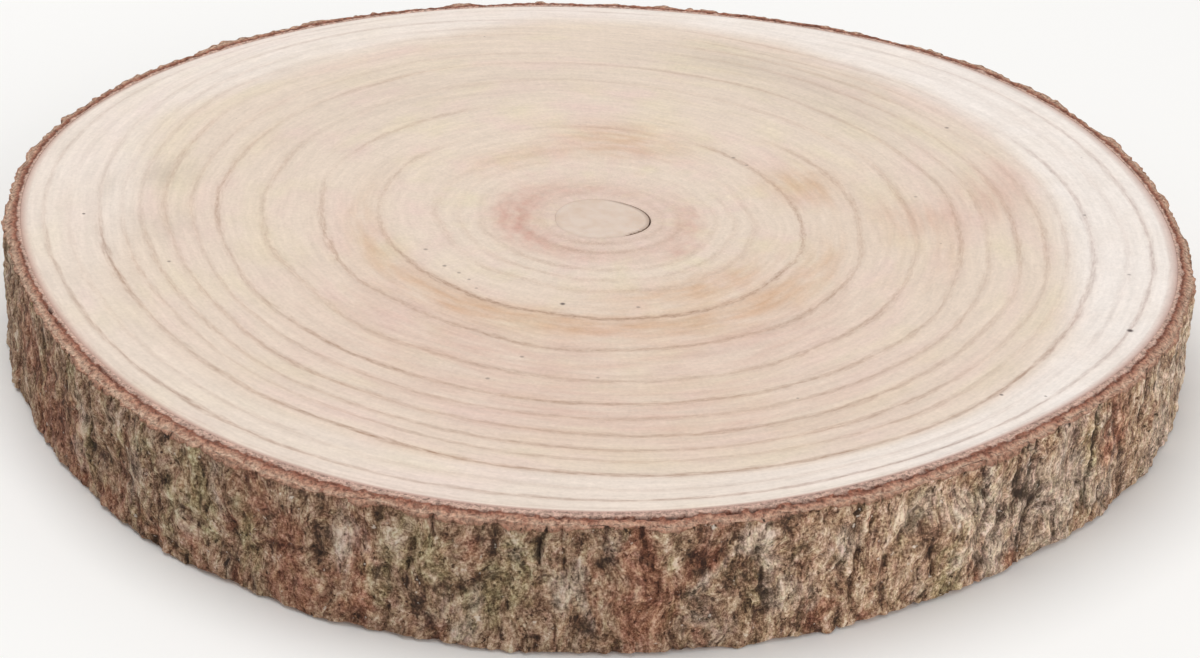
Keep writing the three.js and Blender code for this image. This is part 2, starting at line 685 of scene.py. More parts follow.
    def _rings(self, graph: Graph, colour: Socket, trunk: Socket) -> Socket:
        """Draws each ring's line and the wash beside it, then shades the wood in bands.

        Args:
            graph: The material's graph.
            colour: The stained colour.
            trunk: Mean radius in mm, and the angle's cosine and sine.

        Returns:
            The colour with its rings.
        """
        strength = graph.add("Attribute", {"attribute_name": "ring_strength"}, output="Fac")
        wash = self._late_wood(graph, strength)
        colour = graph.add("Mix", RGBA, {0: wash, 6: colour, 7: tint(self.late_wood)}, 2)
        line = self._ring_lines(graph, strength, trunk)
        sapwood = graph.add("Attribute", {"attribute_name": "sapwood"}, output="Fac")
        drawn_in = {0: sapwood, 6: tint(self.ring_line), 7: tint(self.sapwood_line)}
        drawn_in = graph.add("Mix", RGBA, drawn_in, 2)
        colour = graph.add("Mix", RGBA, {0: line, 6: colour, 7: drawn_in}, 2)
        bands = self.shade_bands.draw(graph, trunk)
        shade = {"Value": bands, "From Min": 0.25, "From Max": 0.75, "To Min": 0.93, "To Max": 1.06}
        shade = graph.add("MapRange", inputs=shade)
        return graph.add("VectorMath", SCALED, {0: colour, "Scale": shade})

    @staticmethod
    def _late_wood(graph: Graph, strength: Socket) -> Socket:
        """The amount of a wash that fades out outside each ring line and rises just inside it.

        Args:
            graph: The material's graph.
            strength: How dark each line is, from 0 to 1.

        Returns:
            The amount, from 0 to 1.
        """
        ring = graph.add("Attribute", {"attribute_name": "ring_number"}, output="Fac")
        phase = graph.add("Math", {"operation": "FRACT"}, {0: ring})
        outside = {"Value": phase, "From Min": 0.0, "From Max": 0.4, "To Min": 0.34, "To Max": 0.0}
        inside = {"Value": phase, "From Min": 0.82, "From Max": 1.0, "To Min": 0.0, "To Max": 0.3}
        sides = [graph.add("MapRange", inputs=side) for side in (outside, inside)]
        wash = graph.add("Math", ADDED, dict(enumerate(sides)))
        return graph.add("Math", MULTIPLIED, {0: wash, 1: strength})

    def _ring_lines(self, graph: Graph, strength: Socket, trunk: Socket) -> Socket:
        """Draws soft dark lines that stray, swell and thin, and break into dashes.

        Args:
            graph: The material's graph.
            strength: How dark each line is, from 0 to 1.
            trunk: Mean radius in mm, and the angle's cosine and sine.

        Returns:
            How much of the line's colour shows, from 0 to 1.
        """
        distance = graph.add("Attribute", {"attribute_name": "ring_distance"}, output="Fac")
        width = graph.add("Attribute", {"attribute_name": "ring_width"}, output="Fac")
        breaks = self.line_breaks.draw(graph, trunk)
        spread = {"Value": breaks, "From Min": 0.3, "From Max": 0.7, "To Min": 0.45, "To Max": 1.15}
        width = graph.add("Math", MULTIPLIED, {0: width, 1: graph.add("MapRange", inputs=spread)})
        strayed = {0: breaks, 1: -2.0 * self.line_stray, 2: self.line_stray}
        strayed = graph.add("Math", MULTIPLIED_ADDED, strayed)
        strayed = graph.add("Math", ADDED, {0: distance, 1: strayed})
        strayed = graph.add("Math", {"operation": "ABSOLUTE"}, {0: strayed})
        near = graph.add("Math", {"operation": "DIVIDE"}, {0: strayed, 1: width})
        line = {"Value": near, "From Min": 0.0, "From Max": 1.0, "To Min": 0.8, "To Max": 0.0}
        line = graph.add("MapRange", SMOOTH, line)
        dashes = {"Value": self.line_dashes.draw(graph, trunk), "From Min": 0.35, "From Max": 0.65}
        dashes = graph.add("MapRange", inputs={**dashes, "To Min": 0.3, "To Max": 1.4})
        line = graph.add("Math", MULTIPLIED, {0: line, 1: dashes})
        return graph.add("Math", CLAMPED, {0: line, 1: strength})

    def _grain(
        self, graph: Graph, colour: Socket, place: Socket, trunk: Socket
    ) -> tuple[Socket, Socket]:
        """Adds vessels drawn out along the rings, faint rays, mottles and sanding grit.

        Args:
            graph: The material's graph.
            colour: The colour with its rings.
            place: Where on the piece.
            trunk: Mean radius in mm, and the angle's cosine and sine.

        Returns:
            The shaded colour, and the sum of the patterns for the relief.
        """
        grit = {"Vector": place, "Scale": per_mm(self.grit_width), "Detail": 5.0}
        grain = graph.add("TexNoise", inputs=grit)
        for streaks, weight in ((self.vessels, 1.0), (self.rays, 0.35), (self.mottles, 0.8)):
            layer = streaks.draw(graph, trunk)
            grain = graph.add("Math", MULTIPLIED_ADDED, {0: layer, 1: weight, 2: grain})
        shade = {"Value": grain, "From Min": 1.15, "From Max": 2.0, "To Min": 0.91, "To Max": 1.075}
        shade = graph.add("MapRange", inputs=shade)
        return graph.add("VectorMath", SCALED, {0: colour, "Scale": shade}), grain

    def _specks(self, graph: Graph, colour: Socket, place: Socket) -> Socket:
        """Scatters a few tiny dark specks, and sets the larger ones where they belong.

        Args:
            graph: The material's graph.
            colour: The colour so far.
            place: Where on the piece.

        Returns:
            The colour with its specks.
        """
        cells = {"Vector": place, "Scale": per_mm(self.speck_spacing), "Randomness": 1.0}
        nearness = graph.add("TexVoronoi", inputs=cells)
        chance = graph.add("TexVoronoi", inputs=cells, output="Color")
        picked = {"Value": chance, "From Min": 0.6, "From Max": 0.9, "To Min": 0.0, "To Max": 0.05}
        core = graph.add("Math", SUBTRACTED, {0: graph.add("MapRange", inputs=picked), 1: nearness})
        mask = {"Value": core, "From Min": -0.01, "From Max": 0.03, "To Min": 0.0, "To Max": 0.5}
        mask = graph.add("MapRange", SMOOTH, mask)
        for speck in self.specks:
            where = (speck.radius, math.radians(speck.angle), self.place.thickness)
            spot = self.place.points(*(np.array(value) for value in where))
            apart = {0: place, 1: tuple(spot)}
            apart = graph.add("VectorMath", {"operation": "DISTANCE"}, apart, "Value")
            size = speck.size * MM
            spread = {"Value": apart, "From Min": 0.75 * size, "From Max": 0.2 * size}
            blot = graph.add("MapRange", SMOOTH, {**spread, "To Max": speck.strength})
            mask = graph.add("Math", {"operation": "MAXIMUM"}, {0: mask, 1: blot})
        return graph.add("Mix", RGBA, {0: mask, 6: colour, 7: tint(self.speck)}, 2)


@dataclass(frozen=True)
class SmoothFiller:
    """Wood filler, sanded level: a smooth, matt beige-grey patch with faint mottling.

    Widths and the relief are in mm. The filler's own grit is too fine to show, so it is drawn
    half a millimetre across.
    """

    ground: str = "dac7b8"
    cloud: str = "d2bba9"
    # The edge's colour: a faint darker rim all round, and painted shade beside the open crack.
    edge: str = "a58f80"
    ior: float = 1.45
    roughness: float = 0.68
    translucent: float = 0.05
    relief: float = 0.1
    mottle_width: float = 4.0
    grit_width: float = 0.5

    def material(self) -> Material:
        """Builds the finish; the mesh's `rim` value darkens the edge.

        Returns:
            The material.
        """
        graph = Graph("smooth_pith_filler")
        place = graph.add("TexCoord", output="Object")
        rim = graph.add("Attribute", {"attribute_name": "rim"}, output="Fac")
        mottle = {"Vector": place, "Scale": per_mm(self.mottle_width), "Detail": 4.0}
        mottle = graph.add("TexNoise", inputs=mottle)
        soft = graph.add("MapRange", inputs={"Value": mottle, "From Min": 0.4, "From Max": 0.7})
        colour = graph.add("Mix", RGBA, {0: soft, 6: tint(self.ground), 7: tint(self.cloud)}, 2)
        # A faint darker edge all round, and painted shade along the crack where it opens.
        colour = graph.add("Mix", RGBA, {0: rim, 6: colour, 7: tint(self.edge)}, 2)
        grit = {"Vector": place, "Scale": per_mm(self.grit_width), "Detail": 3.0}
        grit = graph.add("TexNoise", inputs=grit)
        relief = {"Strength": 0.2, "Distance": self.relief * MM, "Height": grit}
        normal = graph.add("Bump", inputs=relief)
        return graph.finish(colour, self.roughness, normal, self.ior, self.translucent)


@dataclass(frozen=True)
class TornInnerBark:
    """Fresh inner bark, torn by the saw.

    It gives the eye a rose line against the wood, then a row of dark red grains, then salmon and
    tan fibres, all of them matt. Widths and the relief are in mm, and patches shift the
    colours by up to half of `shift`, a share of the band, each way. Real fibres are about a
    tenth of a millimetre thick, too fine to show, so they are drawn in grains of 0.9 mm.
    """

    rose: str = "bb9a8d"
    inner_pale: str = "c6a595"
    dark: str = "84513f"
    red: str = "9c6a56"
    salmon: str = "b48a74"
    tan: str = "c4a58f"
    red_clot: str = "7a4a3a"
    # Painted shade: the near-black colour put in the pits.
    painted_pit_shade: str = "3f1c12"
    ior: float = 1.4
    roughness: float = 0.9
    relief: float = 0.5
    patch_width: float = 3.2
    shift: float = 0.9
    grain_width: float = 0.9
    clots: Spots = Spots(1.4, 0.53, 0.66, inside=0.7)

    def material(self) -> Material:
        """Builds the finish from the mesh's `band`, 0 at the wood and 1 outside, and its pits.

        Returns:
            The material.
        """
        graph = Graph("torn_inner_bark")
        place = graph.add("TexCoord", output="Object")
        band = graph.add("Attribute", {"attribute_name": "band"}, output="Fac")
        pit = graph.add("Attribute", {"attribute_name": "pit"}, output="Fac")
        colour, grain = self.fibres(graph, place, band)
        # Painted shade: the pits are coloured nearly black.
        colour = graph.add("Mix", RGBA, {0: pit, 6: colour, 7: tint(self.painted_pit_shade)}, 2)
        relief = {"Strength": 0.9, "Distance": self.relief * MM, "Height": grain}
        normal = graph.add("Bump", inputs=relief)
        return graph.finish(colour, self.roughness, normal, self.ior)

    def fibres(self, graph: Graph, place: Socket, band: Socket) -> tuple[Socket, Socket]:
        """The torn fibres' colour across the band, and their grain for the relief.

        Args:
            graph: The material's graph.
            place: Where on the piece.
            band: 0 at the wood and 1 outside.

        Returns:
            The colour and the grain from 0 to 1.
        """
        patches = {"Vector": place, "Scale": per_mm(self.patch_width), "Detail": 5.0, "Roughness": 0.7}
        patches = graph.add("TexNoise", inputs=patches)
        shifted = {0: patches, 1: self.shift, 2: -self.shift / 2.0}
        shifted = graph.add("Math", MULTIPLIED_ADDED, shifted)
        shifted = graph.add("Math", ADDED, {0: band, 1: shifted})
        stops = [
            (0.0, self.rose), (0.08, self.inner_pale), (0.26, self.inner_pale), (0.4, self.dark),
            (0.52, self.red), (0.72, self.salmon), (1.0, self.tan),
        ]
        colour = graph.add("ValToRGB", {"stops": stops}, {"Fac": shifted})
        clots = self.clots.draw(graph, place)
        outer = graph.add("MapRange", SMOOTH, {"Value": band, "From Min": 0.3, "From Max": 0.5})
        clots = graph.add("Math", MULTIPLIED, {0: clots, 1: outer})
        colour = graph.add("Mix", RGBA, {0: clots, 6: colour, 7: tint(self.red_clot)}, 2)
        grain = {"Vector": place, "Scale": per_mm(self.grain_width), "Detail": 4.0, "Roughness": 0.75}
        grain = graph.add("TexNoise", inputs=grain)
        shade = {"Value": grain, "From Min": 0.34, "From Max": 0.66, "To Min": 0.42, "To Max": 1.52}
        shade = graph.add("MapRange", inputs=shade)
        return graph.add("VectorMath", SCALED, {0: colour, "Scale": shade}), grain


@dataclass(frozen=True)
class LichenedBark:
    """Young rough bark: fibrous grey-brown flakes with rust-red, olive and pale grey patches.

    It gives the eye a matt, crumbly face that changes colour every few millimetres as lichen and
    bare bark take turns, with painted highlight on its crowns and painted shade in its hollows,
    furrows and cracks. Each palette runs from the darkest hollow to the palest crown, at the same
    `tones`. Widths, the bend and the relief are in mm. Real fibres and lichen grains are a few
    tenths of a millimetre across, too fine to show, so they are drawn in widths of 0.65 to 0.8 mm.
    """

    tones: tuple[float, ...] = (0.395, 0.47, 0.53, 0.59, 0.65, 0.73)
    brown: tuple[str, ...] = ("33241b", "493528", "6c4f3c", "967860", "b89c82", "d9c6b0")
    rust: tuple[str, ...] = ("33190f", "4c2a1b", "683c2b", "8a5843", "ad7b62", "cda387")
    olive: tuple[str, ...] = ("2f2716", "463b25", "645a3c", "8c805a", "b3a77f", "d2c9a4")
    grey: tuple[str, ...] = ("392f27", "544639", "776a5e", "a08f7f", "c4b1a0", "e0cdbb")
    fleck: str = "dacdbf"
    ior: float = 1.4
    roughness: float = 0.92
    relief: float = 0.75
    fibre_width: float = 0.8
    flake_width: float = 2.6
    grit_width: float = 0.65
    speckle_width: float = 1.5
    holes: Spots = Spots(1.4, 0.6, 0.68, inside=-0.13, detail=4.0)
    scales: Spots = Spots(3.4, 0.45, 0.55, 0.01, 0.13)
    flecks: Spots = Spots(1.9, 0.66, 0.74, inside=0.7)
    patch_width: float = 9.0
    bend: float = 12.0
    bend_width: float = 16.0
    drawn_out: float = 1.7
    paleness: float = 0.38
    torn: TornInnerBark = TornInnerBark()

    def material(self) -> Material:
        """Builds the finish from the values that the mesh carries.

        Returns:
            The material.
        """
        graph = Graph("lichened_bark")
        place = graph.add("TexCoord", output="Object")
        drawn = self._drawn(graph, place)
        tone, height = self._tone(graph, place, drawn)
        colour = self._patches(graph, place, drawn, tone)
        torn = graph.add("Attribute", {"attribute_name": "torn"}, output="Fac")
        fresh, _ = self.torn.fibres(graph, place, torn)
        frayed = graph.add("Math", MULTIPLIED_ADDED, {0: tone, 1: 1.6, 2: -0.96})
        frayed = graph.add("Math", ADDED, {0: torn, 1: frayed})
        edge = {"Value": frayed, "From Min": 0.4, "From Max": 0.62, "To Min": 0.0, "To Max": 0.9}
        edge = graph.add("MapRange", SMOOTH, edge)
        colour = graph.add("Mix", RGBA, {0: edge, 6: colour, 7: fresh}, 2)
        relief = {"Strength": 0.75, "Distance": self.relief * MM, "Height": height}
        normal = graph.add("Bump", inputs=relief)
        return graph.finish(colour, self.roughness, normal, self.ior)

    def _drawn(self, graph: Graph, place: Socket) -> Socket:
        """Bends the place by up to half the bend each way, and draws it out along the grain.

        Args:
            graph: The material's graph.
            place: Where on the piece.

        Returns:
            The bent place.
        """
        bend = {"Vector": place, "Scale": per_mm(self.bend_width), "Detail": 1.0}
        bend = graph.add("TexNoise", inputs=bend, output="Color")
        bend = graph.add("VectorMath", SUBTRACTED, {0: bend, 1: (0.5, 0.5, 0.5)})
        bend = graph.add("VectorMath", SCALED, {0: bend, "Scale": self.bend * MM})
        bent = graph.add("VectorMath", ADDED, {0: place, 1: bend})
        return graph.add("VectorMath", MULTIPLIED, {0: bent, 1: (1.0, 1.0, 1.0 / self.drawn_out)})

    def _tone(self, graph: Graph, place: Socket, drawn: Socket) -> tuple[Socket, Socket]:
        """Adds fibres, flakes, grit, holes, scales and the mesh's hollows into one tone.

        Scales are light where the mesh's `shade` is above 0 and dark where it is below. The mesh's
        relief adds painted highlight on crowns and painted shade in hollows, furrows and cracks.

        Args:
            graph: The material's graph.
            place: Where on the piece.
            drawn: The same, bent and drawn out along the grain.

        Returns:
            The tone, mostly from 0.4 to 0.75, and the finer relief.
        """
        layers = (
            (drawn, self.fibre_width, 6.0, 0.7, 0.4),
            (drawn, self.flake_width, 5.0, 0.6, 0.44),
            (place, self.grit_width, 5.0, 0.8, 0.54),
        )
        height = -0.1
        for where, width, detail, roughness, weight in layers:
            layer = {"Vector": where, "Scale": per_mm(width), "Detail": detail, "Roughness": roughness}
            layer = graph.add("TexNoise", inputs=layer)
            height = graph.add("Math", MULTIPLIED_ADDED, {0: layer, 1: weight, 2: height})
        height = graph.add("Math", ADDED, {0: height, 1: self.holes.draw(graph, drawn)})
        scales = self.scales.draw(graph, drawn)
        shade = graph.add("Attribute", {"attribute_name": "shade"}, output="Fac")
        tone = graph.add("Math", MULTIPLIED_ADDED, {0: shade, 1: scales, 2: height})
        # Painted light and shade from the mesh's relief: highlight on crowns, shade in hollows, furrows
        # and cracks.
        for name, weight in (("cavity", 0.06), ("furrow", -0.035), ("crack", -0.1)):
            value = graph.add("Attribute", {"attribute_name": name}, output="Fac")
            tone = graph.add("Math", MULTIPLIED_ADDED, {0: value, 1: weight, 2: tone})
        return tone, height

    def _patches(self, graph: Graph, place: Socket, drawn: Socket, tone: Socket) -> Socket:
        """Colours the tone in brown, and in places in rust, olive or grey, with fine speckles.

        Args:
            graph: The material's graph.
            place: Where on the piece.
            drawn: The same, bent and drawn out along the grain.
            tone: How light the bark is, from 0 to 1.

        Returns:
            The colour.
        """
        colour = graph.add("ValToRGB", {"stops": list(zip(self.tones, self.brown))}, {"Fac": tone})
        field = {"Vector": drawn, "Scale": per_mm(self.patch_width), "Detail": 4.0, "Roughness": 0.58}
        field = graph.add("TexNoise", inputs=field, output="Color")
        patches = graph.add("Attribute", {"attribute_name": "patches"}, output="Vector")
        field = graph.add("VectorMath", MULTIPLIED_ADDED, {0: field, 1: (2.0, 2.0, 2.0), 2: patches})
        kinds = (("X", self.rust, 0.75), ("Y", self.olive, 0.58), ("Z", self.grey, 0.62))
        for channel, palette, most in kinds:
            near = graph.add("SeparateXYZ", inputs={"Vector": field}, output=channel)
            amount = {"Value": near, "From Min": 1.05, "From Max": 1.5, "To Max": most}
            amount = graph.add("MapRange", SMOOTH, amount)
            patch = graph.add("ValToRGB", {"stops": list(zip(self.tones, palette))}, {"Fac": tone})
            colour = graph.add("Mix", RGBA, {0: amount, 6: colour, 7: patch}, 2)
        speckle = {"Vector": drawn, "Scale": per_mm(self.speckle_width), "Detail": 3.0}
        speckle = graph.add("TexNoise", inputs=speckle, output="Color")
        spread = {0: speckle, 1: (0.3, 0.24, 0.3), 2: (0.85, 0.88, 0.85)}
        speckle = graph.add("VectorMath", MULTIPLIED_ADDED, spread)
        colour = graph.add("VectorMath", MULTIPLIED, {0: colour, 1: speckle})
        flecks = self.flecks.draw(graph, place)
        colour = graph.add("Mix", RGBA, {0: flecks, 6: colour, 7: tint(self.fleck)}, 2)
        # Lighter towards one side: partly paler bark, partly painted light from that side.
        paleness = graph.add("Attribute", {"attribute_name": "paleness"}, output="Fac")
        lighter = graph.add("Math", MULTIPLIED_ADDED, {0: paleness, 1: self.paleness, 2: 1.0})
        return graph.add("VectorMath", SCALED, {0: colour, "Scale": lighter})


@dataclass(frozen=True)
class PaleFloor:
    """Paper backdrop, laid flat: matt and nearly white, so that it takes only soft shadows."""

    ground: str = "f7f6f4"
    ior: float = 1.4
    roughness: tuple[float, float] = (0.85, 0.95)
    cloud_width: float = 333.33

    def material(self) -> Material:
        """Builds the finish, with the faintest unevenness in its gloss and level.

        Returns:
            The material.
        """
        graph = Graph("paper_backdrop")
        place = graph.add("TexCoord", output="Object")
        cloud = {"Vector": place, "Scale": per_mm(self.cloud_width), "Detail": 2.0}
        cloud = graph.add("TexNoise", inputs=cloud)
        smoothest, roughest = self.roughness
        roughness = {"Value": cloud, "To Min": smoothest, "To Max": roughest}
        roughness = graph.add("MapRange", inputs=roughness)
        normal = graph.add("Bump", inputs={"Strength": 0.02, "Distance": MM, "Height": cloud})
        return graph.finish(tint(self.ground), roughness, normal, self.ior)


# Sub-assemblies


@dataclass(frozen=True)
class RingLine:
    """One growth ring's line: its mean radius and half width in mm, and how dark it is."""

    radius: float
    strength: float
    half_width: float


class Wash(Enum):
    """A stain's colour, by its place in the mesh's `stains` attribute."""

    PINK = 0
    TAN = 1
    GREY = 2


PINK, TAN, GREY = Wash


@dataclass(frozen=True)
class Stain:
    """A soft stain on the cut.

    Its middle is at `angle` degrees and `radius` mm, and it reaches `along` mm round the ring
    and `across` mm over the rings.
    """

    wash: Wash
    angle: float
    radius: float
    along: float
    across: float
    strength: float

    def mask(self, angle: Array, radius: Array) -> Array:
        """A bell on the cut: strength * exp(-(arc / along)^2 - (radius step / across)^2)."""
        arc = turn_between(angle, math.radians(self.angle)) * self.radius
        return self.strength * bell(arc / self.along, (radius - self.radius) / self.across)


@dataclass(frozen=True)
class WoodDisc:
    """The wood: two flat saw cuts with growth rings, and the hole for the pith.

    Lengths are in mm. `shapes` are the ring shapes that the others run between, and `sapwood`
    pairs an angle in degrees with the radius at which the sapwood starts.
    """

    place: Placement
    columns: int = 480
    top_rows: int = 110
    under_rows: int = 24
    arris: float = 0.25
    arris_drop: float = 0.175
    # How far rings wander, and the mean radii between which they take it up and give it back.
    wander: Pattern = Pattern(0.8, 22, 14.0, 37)
    wander_starts: tuple[float, float] = (14.0, 34.0)
    wander_ends: tuple[float, float] = (132.0, 144.0)
    # How dark the lines are round the trunk, darkest in front, and how that comes and goes.
    darkness: Outline = Outline(0.56, (Wave(1, 0.36, 275.0),))
    fading: Pattern = Pattern(0.34, 20, 8.0, 21)
    # How far in from the bark the rim is stained.
    stained: Outline = Outline(1.3, (Wave(2, 0.6, 0.0), Wave(1, 0.2, 0.0)))
    # How white the sapwood is, the side on which it is duller, and how softly it starts: in
    # front, and how much more so behind.
    whiteness: Outline = Outline(0.72, (Wave(1, 0.26, 20.0),))
    dull_side: float = 240.0
    dullness: float = 0.3
    softness: float = 2.4
    softer_behind: float = 6.0
    lines: tuple[RingLine, ...] = (
        RingLine(15.2, 0.4, 2), RingLine(20, 0.4, 2.6), RingLine(29.9, 0.28, 2.2),
        RingLine(35, 0.25, 2), RingLine(40.6, 0.25, 2.4), RingLine(54.6, 0.85, 1.5),
        RingLine(70.5, 0.75, 1.7), RingLine(84.8, 0.6, 1.9), RingLine(96.5, 0.75, 1.5),
        RingLine(103.2, 0.4, 1.5), RingLine(110.4, 0.6, 1.7), RingLine(117, 0.55, 1.6),
        RingLine(121.8, 0.4, 1.3), RingLine(127.9, 0.82, 1.6), RingLine(134.6, 0.2, 1.3),
        RingLine(139.8, 0.75, 1.2), RingLine(143.6, 0.2, 0.8), RingLine(147, 0, 1),
    )
    shapes: tuple[Outline, ...] = (
        PITH,
        Outline(54.6, (Wave(1, 2.1, 172.0), Wave(2, 1.7, -70.0), Wave(3, 0.2, 33.0))),
        Outline(96.6, (Wave(1, 2.7, 164.0), Wave(2, 3.3, -76.0), Wave(3, 0.7, 23.0))),
        Outline(127.7, (Wave(1, 2.4, 142.0), Wave(2, 4.1, -65.0), Wave(3, 2.2, 22.0))),
        TRUNK,
    )
    sapwood: tuple[tuple[float, float], ...] = (
        (0, 115), (20, 116), (34, 121), (60, 124), (70, 129), (98, 130),
        (112, 122), (140, 119), (158, 124), (170, 116), (188, 113), (203, 125),
        (225, 128), (250, 131), (290, 131), (312, 128), (332, 123), (348, 117),
    )
    stains: tuple[Stain, ...] = (
        Stain(PINK, 168, 21, 22, 4, 0.5), Stain(PINK, 190, 25, 20, 4, 0.5),
        Stain(PINK, 205, 19, 14, 3, 0.45), Stain(PINK, 345, 22, 12, 3.5, 0.5),
        Stain(PINK, 320, 27, 10, 2.5, 0.45), Stain(PINK, 15, 24, 12, 3, 0.3),
        Stain(PINK, 268, 22, 20, 4, 0.3), Stain(PINK, 95, 17, 20, 3, 0.3),
        Stain(PINK, 262, 82, 64, 22, 0.34), Stain(PINK, 278, 108, 70, 15, 0.34),
        Stain(PINK, 235, 75, 26, 12, 0.18), Stain(PINK, 308, 72, 30, 10, 0.3),
        Stain(PINK, 6, 84, 9, 11, 0.4), Stain(PINK, 13, 103, 12, 9, 0.55),
        Stain(PINK, 20, 112, 10, 6, 0.35), Stain(PINK, 78, 44, 16, 7, 0.15),
        Stain(TAN, 84, 50, 17, 11, 0.45), Stain(TAN, 26, 57, 12, 10, 0.5),
        Stain(TAN, 306, 45, 24, 6.5, 0.55), Stain(TAN, 285, 60, 50, 7, 0.5),
        Stain(TAN, 238, 60, 34, 6, 0.35), Stain(TAN, 200, 60, 34, 5, 0.25),
        Stain(TAN, 330, 59, 24, 5, 0.35), Stain(TAN, 118, 42, 18, 7, 0.25),
        Stain(TAN, 4, 76, 18, 7, 0.25), Stain(TAN, 355, 88, 30, 5, 0.2),
        Stain(GREY, 172, 112, 9, 7, 0.5), Stain(GREY, 188, 110, 8, 9, 0.4),
        Stain(GREY, 178, 126, 14, 2.5, 0.35), Stain(GREY, 52, 100, 26, 12, 0.35),
        Stain(GREY, 70, 112, 34, 10, 0.35), Stain(GREY, 120, 90, 60, 16, 0.2),
    )

    def build(self, material: Material) -> Piece:
        """Builds the wood and its ring, stain and grain values.

        Args:
            material: Its finish.

        Returns:
            The piece.
        """
        mean, height = self._section()
        angle = np.linspace(0.0, FULL_TURN, self.columns, endpoint=False)
        mean_grid, angle_grid = np.meshgrid(mean, angle, indexing="ij")
        radius = self.ring_radius(mean_grid, angle_grid)
        points = self.place.points(radius, angle_grid, height[:, None])
        mesh = ring_mesh("wood", points, Section.CLOSED)
        add_values(mesh, "radius_share", mean_grid / TRUNK.mean)
        numbers = list(range(1, len(self.lines) + 1))
        widths = [line.half_width for line in self.lines]
        add_values(mesh, "ring_number", self._between_lines(mean_grid, numbers))
        add_values(mesh, "ring_distance", self._ring_distance(mean_grid))
        add_values(mesh, "ring_strength", self._ring_strength(mean_grid, angle_grid))
        add_values(mesh, "ring_width", self._between_lines(mean_grid, widths))
        add_values(mesh, "sapwood", self._sapwood(radius, angle_grid))
        add_values(mesh, "stained", 1.0 - self.stained.at(angle_grid) / TRUNK.mean)
        trunk_place = [mean_grid, np.cos(angle_grid), np.sin(angle_grid)]
        add_vectors(mesh, "trunk_place", np.stack(trunk_place, axis=-1))
        washes = [np.zeros_like(radius) for _ in Wash]
        for stain in self.stains:
            washes[stain.wash.value] += stain.mask(angle_grid, radius)
        add_vectors(mesh, "stains", np.stack(washes, axis=-1))
        return add_piece("wood", mesh, material, "wood_disc")

    def ring_radius(self, mean: Array, angle: Array) -> Array:
        """The radius at an angle of the growth ring with that mean radius.

        Each wave's cosine and sine parts run straight from one known ring shape to the next, and
        every ring also wanders a little.

        Args:
            mean: Mean radii in mm.
            angle: Angles in radians.

        Returns:
            The radii in mm.
        """
        means = [shape.mean for shape in self.shapes]
        radius = mean.copy()
        for count in sorted({wave.count for shape in self.shapes for wave in shape.waves}):
            known = [[w for w in shape.waves if w.count == count] for shape in self.shapes]
            for part in (np.cos, np.sin):
                sizes = [sum(w.swell * part(count * math.radians(w.crest)) for w in ws) for ws in known]
                radius += np.interp(mean, means, sizes) * part(count * angle)
        low, high = self.wander_ends
        share = smooth_step(mean, *self.wander_starts) * smooth_step(-mean, -high, -low)
        return radius + self.wander.relief(angle, mean) * share

    def _section(self) -> tuple[Array, Array]:
        """The mean radius and height of each row: under, up the rim, over the top, down the hole.

        The rows on top also stand on each ring line and halfway between two lines, so that ring
        numbers and distances run straight between rows.

        Returns:
            The mean radii and the heights, in mm.
        """
        inner, outer = PITH.mean, TRUNK.mean
        lines = np.array([line.radius for line in self.lines])
        knots = np.concatenate([lines, (lines[1:] + lines[:-1]) / 2.0])
        knots = knots[(knots > inner + 1.0) & (knots < outer - 0.5)]
        first, last = inner + self.arris, outer - self.arris
        top, under = (
            np.unique(np.concatenate([np.linspace(first, last, rows), knots]))
            for rows in (self.top_rows, self.under_rows)
        )
        deep = self.place.thickness
        low, high = self.arris_drop, deep - self.arris_drop
        mean = np.concatenate([[inner], under, [outer, outer], top[::-1], [inner]])
        height = np.concatenate([[low], 0.0 * under, [low, high], np.full(len(top), deep), [high]])
        return mean, height

    def _between_lines(self, mean: Array, values: list[float]) -> Array:
        """Runs straight from the value of each ring line to that of the next one out."""
        return np.interp(mean, [line.radius for line in self.lines], values)

    def _ring_distance(self, mean: Array) -> Array:
        """The distance in mm to the nearest ring line."""
        lines = np.array([line.radius for line in self.lines])
        return np.abs(mean[..., None] - lines).min(axis=-1)

    def _ring_strength(self, mean: Array, angle: Array) -> Array:
        """How dark each line is: its own strength, more in front, and fading in and out.

        Args:
            mean: Mean radii in mm.
            angle: Angles in radians.

        Returns:
            Values from 0 to 1.
        """
        own = self._between_lines(mean, [line.strength for line in self.lines])
        around = self.darkness.at(angle) + self.fading.relief(angle, mean)
        return np.clip(own * around, 0.0, 1.0)

    def _sapwood(self, radius: Array, angle: Array) -> Array:
        """How white the sapwood makes each point; its inner edge isn't a ring.

        Args:
            radius: Radii in mm.
            angle: Angles in radians.

        Returns:
            Values from 0 in the darker wood to about 1 in the whitest sapwood.
        """
        angles = [math.radians(place) for place, _ in self.sapwood]
        edge = np.interp(angle, angles, [start for _, start in self.sapwood], period=FULL_TURN)
        softness = self.softness + self.softer_behind * smooth_step(facing(angle, 90.0), -0.95, -0.4)
        dull = self.dullness * smooth_step(facing(angle, self.dull_side), 0.35, 0.95)
        share = smooth_step((radius - edge) / softness, -0.6, 1.2)
        return (self.whiteness.at(angle) - dull) * share


